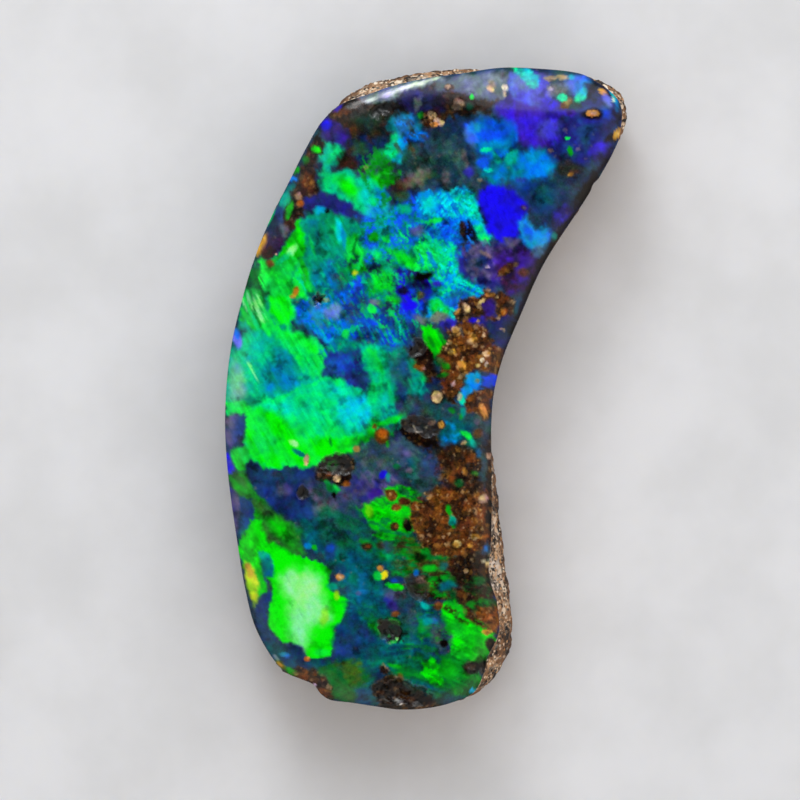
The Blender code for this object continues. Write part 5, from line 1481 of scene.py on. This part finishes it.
def stone_material():
    """Polished play-of-colour face over sandy ironstone."""
    n = Nodes("opal_in_ironstone")
    side, rock, lip = n.value("side"), n.value("rock"), n.value("lip")
    stone_tone = {name: linear(*shade) for name, shade in IRONSTONE.items()}

    # The sawn and broken ironstone of the wall and back: sand grains of mixed colours in a layered ground
    drawn = n.stretched(DRAWN_OUT)
    pale = n.value("pale")
    chalky = n.between(pale, 0.70, 1.0)
    pale = n.math("ADD", pale, n.between(n.noise(PALE_LENGTH, 3), 0.35, 0.65, -0.16, 0.16), clamp=True)
    ground = n.mix(n.between(n.noise(BROAD_LENGTH, 3), 0.38, 0.64), stone_tone["deep"], stone_tone["brown"])
    layered = n.between(n.noise(LAYER_LENGTH, 4, 0.55, n.stretched(LYING_FLAT)), 0.46, 0.62)
    ground = n.mix(n.math("MULTIPLY", layered, 0.55), ground, stone_tone["layer"])
    ground = n.mix(pale, ground, stone_tone["sand"])
    ground = n.mix(chalky, ground, stone_tone["chalk"])
    ground = n.mix(n.between(n.noise(CRACK_LENGTH, 4, 0.65, drawn), 0.50, 0.57), ground, stone_tone["crack"])
    sandy = n.math("MULTIPLY", pale, 0.50)
    for size, dark_from, pale_from in WALL_GRAINS:
        pick = n.add("ShaderNodeSeparateColor")
        n.put(n.cells(size, "Color", drawn), pick.inputs[0])
        body = n.between(n.cells(size, "Distance", drawn), 0.26, 0.62, 1, 0)
        likely = n.math("ADD", pick.outputs[0], sandy)
        bright = n.math("MULTIPLY", n.between(likely, pale_from, pale_from + 0.08), body)
        ground = n.mix(bright, ground, n.mix(pick.outputs[2], stone_tone["amber"], stone_tone["cream"]))
        dark = n.math("MULTIPLY", n.between(pick.outputs[1], dark_from, dark_from + 0.10), body)
        ground = n.mix(n.math("MULTIPLY", dark, 0.85), ground, stone_tone["hole"])

    # A thin seam of opal shows in the wall just under the polished face
    seam = n.math("ADD", n.value("height"), n.between(n.noise(SEAM_LENGTH, 3), 0.3, 0.7, -0.16, 0.12))
    seam = n.math("MULTIPLY", n.between(seam, 0.80, 0.90), n.between(lip, 0.06, 0.16, 1, 0))
    paint = n.colour("paint")
    wall = n.mix(n.math("MULTIPLY", seam, 0.8), ground, paint)

    # The polished face
    grit = n.mix(n.between(n.noise(GRIT_LENGTH, 2), 0.36, 0.64), GRIT_DARK, GRIT_LIGHT)
    face = n.mix(n.value("grit"), paint, n.mix(1.0, paint, grit, "MULTIPLY"))
    n.put(n.mix(side, face, wall), n.shader.inputs["Base Color"])
    gloss = n.blend(n.value("pit"), n.blend(rock, FACE_ROUGHNESS, ROCK_ROUGHNESS), PIT_ROUGHNESS)
    n.put(n.blend(side, gloss, WALL_ROUGHNESS), n.shader.inputs["Roughness"])
    n.shader.inputs["IOR"].default_value = POLISH_IOR
    n.shader.inputs["Specular IOR Level"].default_value = POLISH_LEVEL

    grain = n.math("ADD", n.noise(BUMP_LENGTH, 4, 0.65), n.math("MULTIPLY", n.cells(BUMP_CELL), CELL_SHARE))
    bump = n.add("ShaderNodeBump")
    n.put(n.blend(side, n.math("MULTIPLY", rock, ROCK_BUMP), WALL_BUMP), bump.inputs["Strength"])
    bump.inputs["Distance"].default_value = BUMP_DEPTH * MM
    n.put(grain, bump.inputs["Height"])
    n.put(bump.outputs["Normal"], n.shader.inputs["Normal"])
    return n.material


def floor_material():
    """A pale sheet, a little uneven in tone."""
    n = Nodes("pale_sheet")
    dark, light = (linear(*shade) for shade in SHEET_SHADES)
    n.put(n.mix(n.between(n.noise(SHEET_MOTTLE, 4), 0.3, 0.7), dark, light), n.shader.inputs["Base Color"])
    n.shader.inputs["Subsurface Weight"].default_value = SCATTER_SHARE
    n.shader.inputs["Subsurface Radius"].default_value = SCATTER_RADIUS
    n.shader.inputs["Subsurface Scale"].default_value = SCATTER_DEPTH * MM
    n.shader.inputs["Roughness"].default_value = SHEET_ROUGHNESS
    n.shader.inputs["Specular IOR Level"].default_value = SHEET_LEVEL
    return n.material


# Floor, light and camera

FLOOR_HALF = 1500.0
FLOOR_THICKNESS = 30.0
# The picture is this wide at this depth under the top of the stone
VIEW_WIDTH, VIEW_DEPTH = 32.0, 0.4
VIEW_MIDDLE = (-1.05, -0.46)
VIEW_DISTANCE = 600.0
CLIP_START, CLIP_END = 0.05, 5.0
SENSOR = 36.0
# Light of the sky at the sides, overhead and low down, and the heights over which it changes
SKY_SIDE, SKY_TOP, SKY_LOW = 0.92, 0.05, 0.40
TOP_SPAN, LOW_SPAN = (0.86, 0.97), (0.20, 0.55)
# The way to the warm side, and how much brighter it is than the mean, and the cool side dimmer
WARM_WAY, LEAN_SPAN, SKY_LEAN = (0.55, -0.83, 0.0), (-0.7, 0.7), 0.25
SKY_COOL, SKY_WARM = (0.86, 0.95, 1.0), (1.0, 0.88, 0.78)
# Lamps: degrees turned from +X towards +Y, degrees from the zenith, distance, width, height, watts and tint
LAMPS = {
    "window": (82, 50, 260, 190, 231, 0.21, (0.98, 0.99, 1.0)),
    "lamp": (106, 60, 260, 72, 86, 0.21, (0.96, 0.99, 1.0)),
}


def floor():
    """A slab, so that light scatters a little inside it and softens the shadow, as in paper or pale stone."""
    data = bpy.data.meshes.new("pale_sheet")
    h, t = FLOOR_HALF * MM, FLOOR_THICKNESS * MM
    corners = [(-h, -h), (h, -h), (h, h), (-h, h)]
    data.from_pydata(
        [(x, y, -t) for x, y in corners] + [(x, y, 0) for x, y in corners],
        [],
        [(3, 2, 1, 0), (4, 5, 6, 7)] + [(i, (i + 1) % 4, (i + 1) % 4 + 4, i + 4) for i in range(4)],
    )
    data.materials.append(floor_material())
    made = bpy.data.objects.new("pale_sheet", data)
    bpy.context.scene.collection.objects.link(made)


def softbox(name, azimuth, polar, distance, width, height, watts, tint):
    """A lamp that faces the stone."""
    a, p = math.radians(azimuth), math.radians(polar)
    toward = Vector((math.cos(a) * math.sin(p), math.sin(a) * math.sin(p), math.cos(p)))
    lamp = bpy.data.lights.new(name, "AREA")
    lamp.shape = "RECTANGLE"
    lamp.size, lamp.size_y = width * MM, height * MM
    lamp.energy = watts
    lamp.color = tint
    holder = bpy.data.objects.new(name, lamp)
    holder.location = toward * distance * MM
    holder.rotation_euler = toward.to_track_quat("Z", "Y").to_euler()
    bpy.context.scene.collection.objects.link(holder)


def surroundings():
    """Light from all sides: dim overhead, so that the polish stays dark, cool from +Y and warm from -Y."""
    world = bpy.data.worlds.new("studio")
    world.use_nodes = True
    tree = world.node_tree

    def linked(kind, source, **settings):
        node = tree.nodes.new(kind)
        for name, value in settings.items():
            setattr(node, name, value)
        tree.links.new(source, node.inputs[0])
        return node

    def ramp(source, span, low=0.0, high=1.0):
        node = linked("ShaderNodeMapRange", source)
        for name, value in zip(("From Min", "From Max", "To Min", "To Max"), (*span, low, high)):
            node.inputs[name].default_value = value
        return node.outputs["Result"]

    def times(first, second):
        node = linked("ShaderNodeMath", first, operation="MULTIPLY")
        tree.links.new(second, node.inputs[1])
        return node.outputs[0]

    way = tree.nodes.new("ShaderNodeTexCoord").outputs["Generated"]
    height = linked("ShaderNodeSeparateXYZ", way).outputs["Z"]
    strength = times(ramp(height, TOP_SPAN, SKY_SIDE, SKY_TOP), ramp(height, LOW_SPAN, SKY_LOW))
    lean = linked("ShaderNodeVectorMath", way, operation="DOT_PRODUCT")
    lean.inputs[1].default_value = WARM_WAY
    lean = lean.outputs["Value"]
    strength = times(strength, ramp(lean, LEAN_SPAN, 1 - SKY_LEAN, 1 + SKY_LEAN))
    tint = linked("ShaderNodeMix", ramp(lean, LEAN_SPAN), data_type="RGBA")
    tint.inputs[6].default_value = (*SKY_COOL, 1)
    tint.inputs[7].default_value = (*SKY_WARM, 1)
    tree.links.new(strength, tree.nodes["Background"].inputs["Strength"])
    tree.links.new(tint.outputs[2], tree.nodes["Background"].inputs["Color"])
    bpy.context.scene.world = world


def camera():
    """Straight above the stone, with +Y up in the picture."""
    eye = bpy.data.cameras.new("camera")
    eye.sensor_width = SENSOR
    eye.lens = SENSOR * VIEW_DISTANCE / VIEW_WIDTH
    eye.clip_start, eye.clip_end = CLIP_START, CLIP_END
    holder = bpy.data.objects.new("camera", eye)
    holder.location = (VIEW_MIDDLE[0] * MM, VIEW_MIDDLE[1] * MM, (VIEW_DISTANCE + TOP_Z - VIEW_DEPTH) * MM)
    bpy.context.scene.collection.objects.link(holder)
    bpy.context.scene.camera = holder


opal = stone()
opal.data.materials.append(stone_material())
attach(opal, "root")
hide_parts("boulder_opal")
floor()
surroundings()
for lamp_name, lamp_row in LAMPS.items():
    softbox(lamp_name, *lamp_row)
camera()
bpy.context.scene.view_settings.view_transform = "Standard"
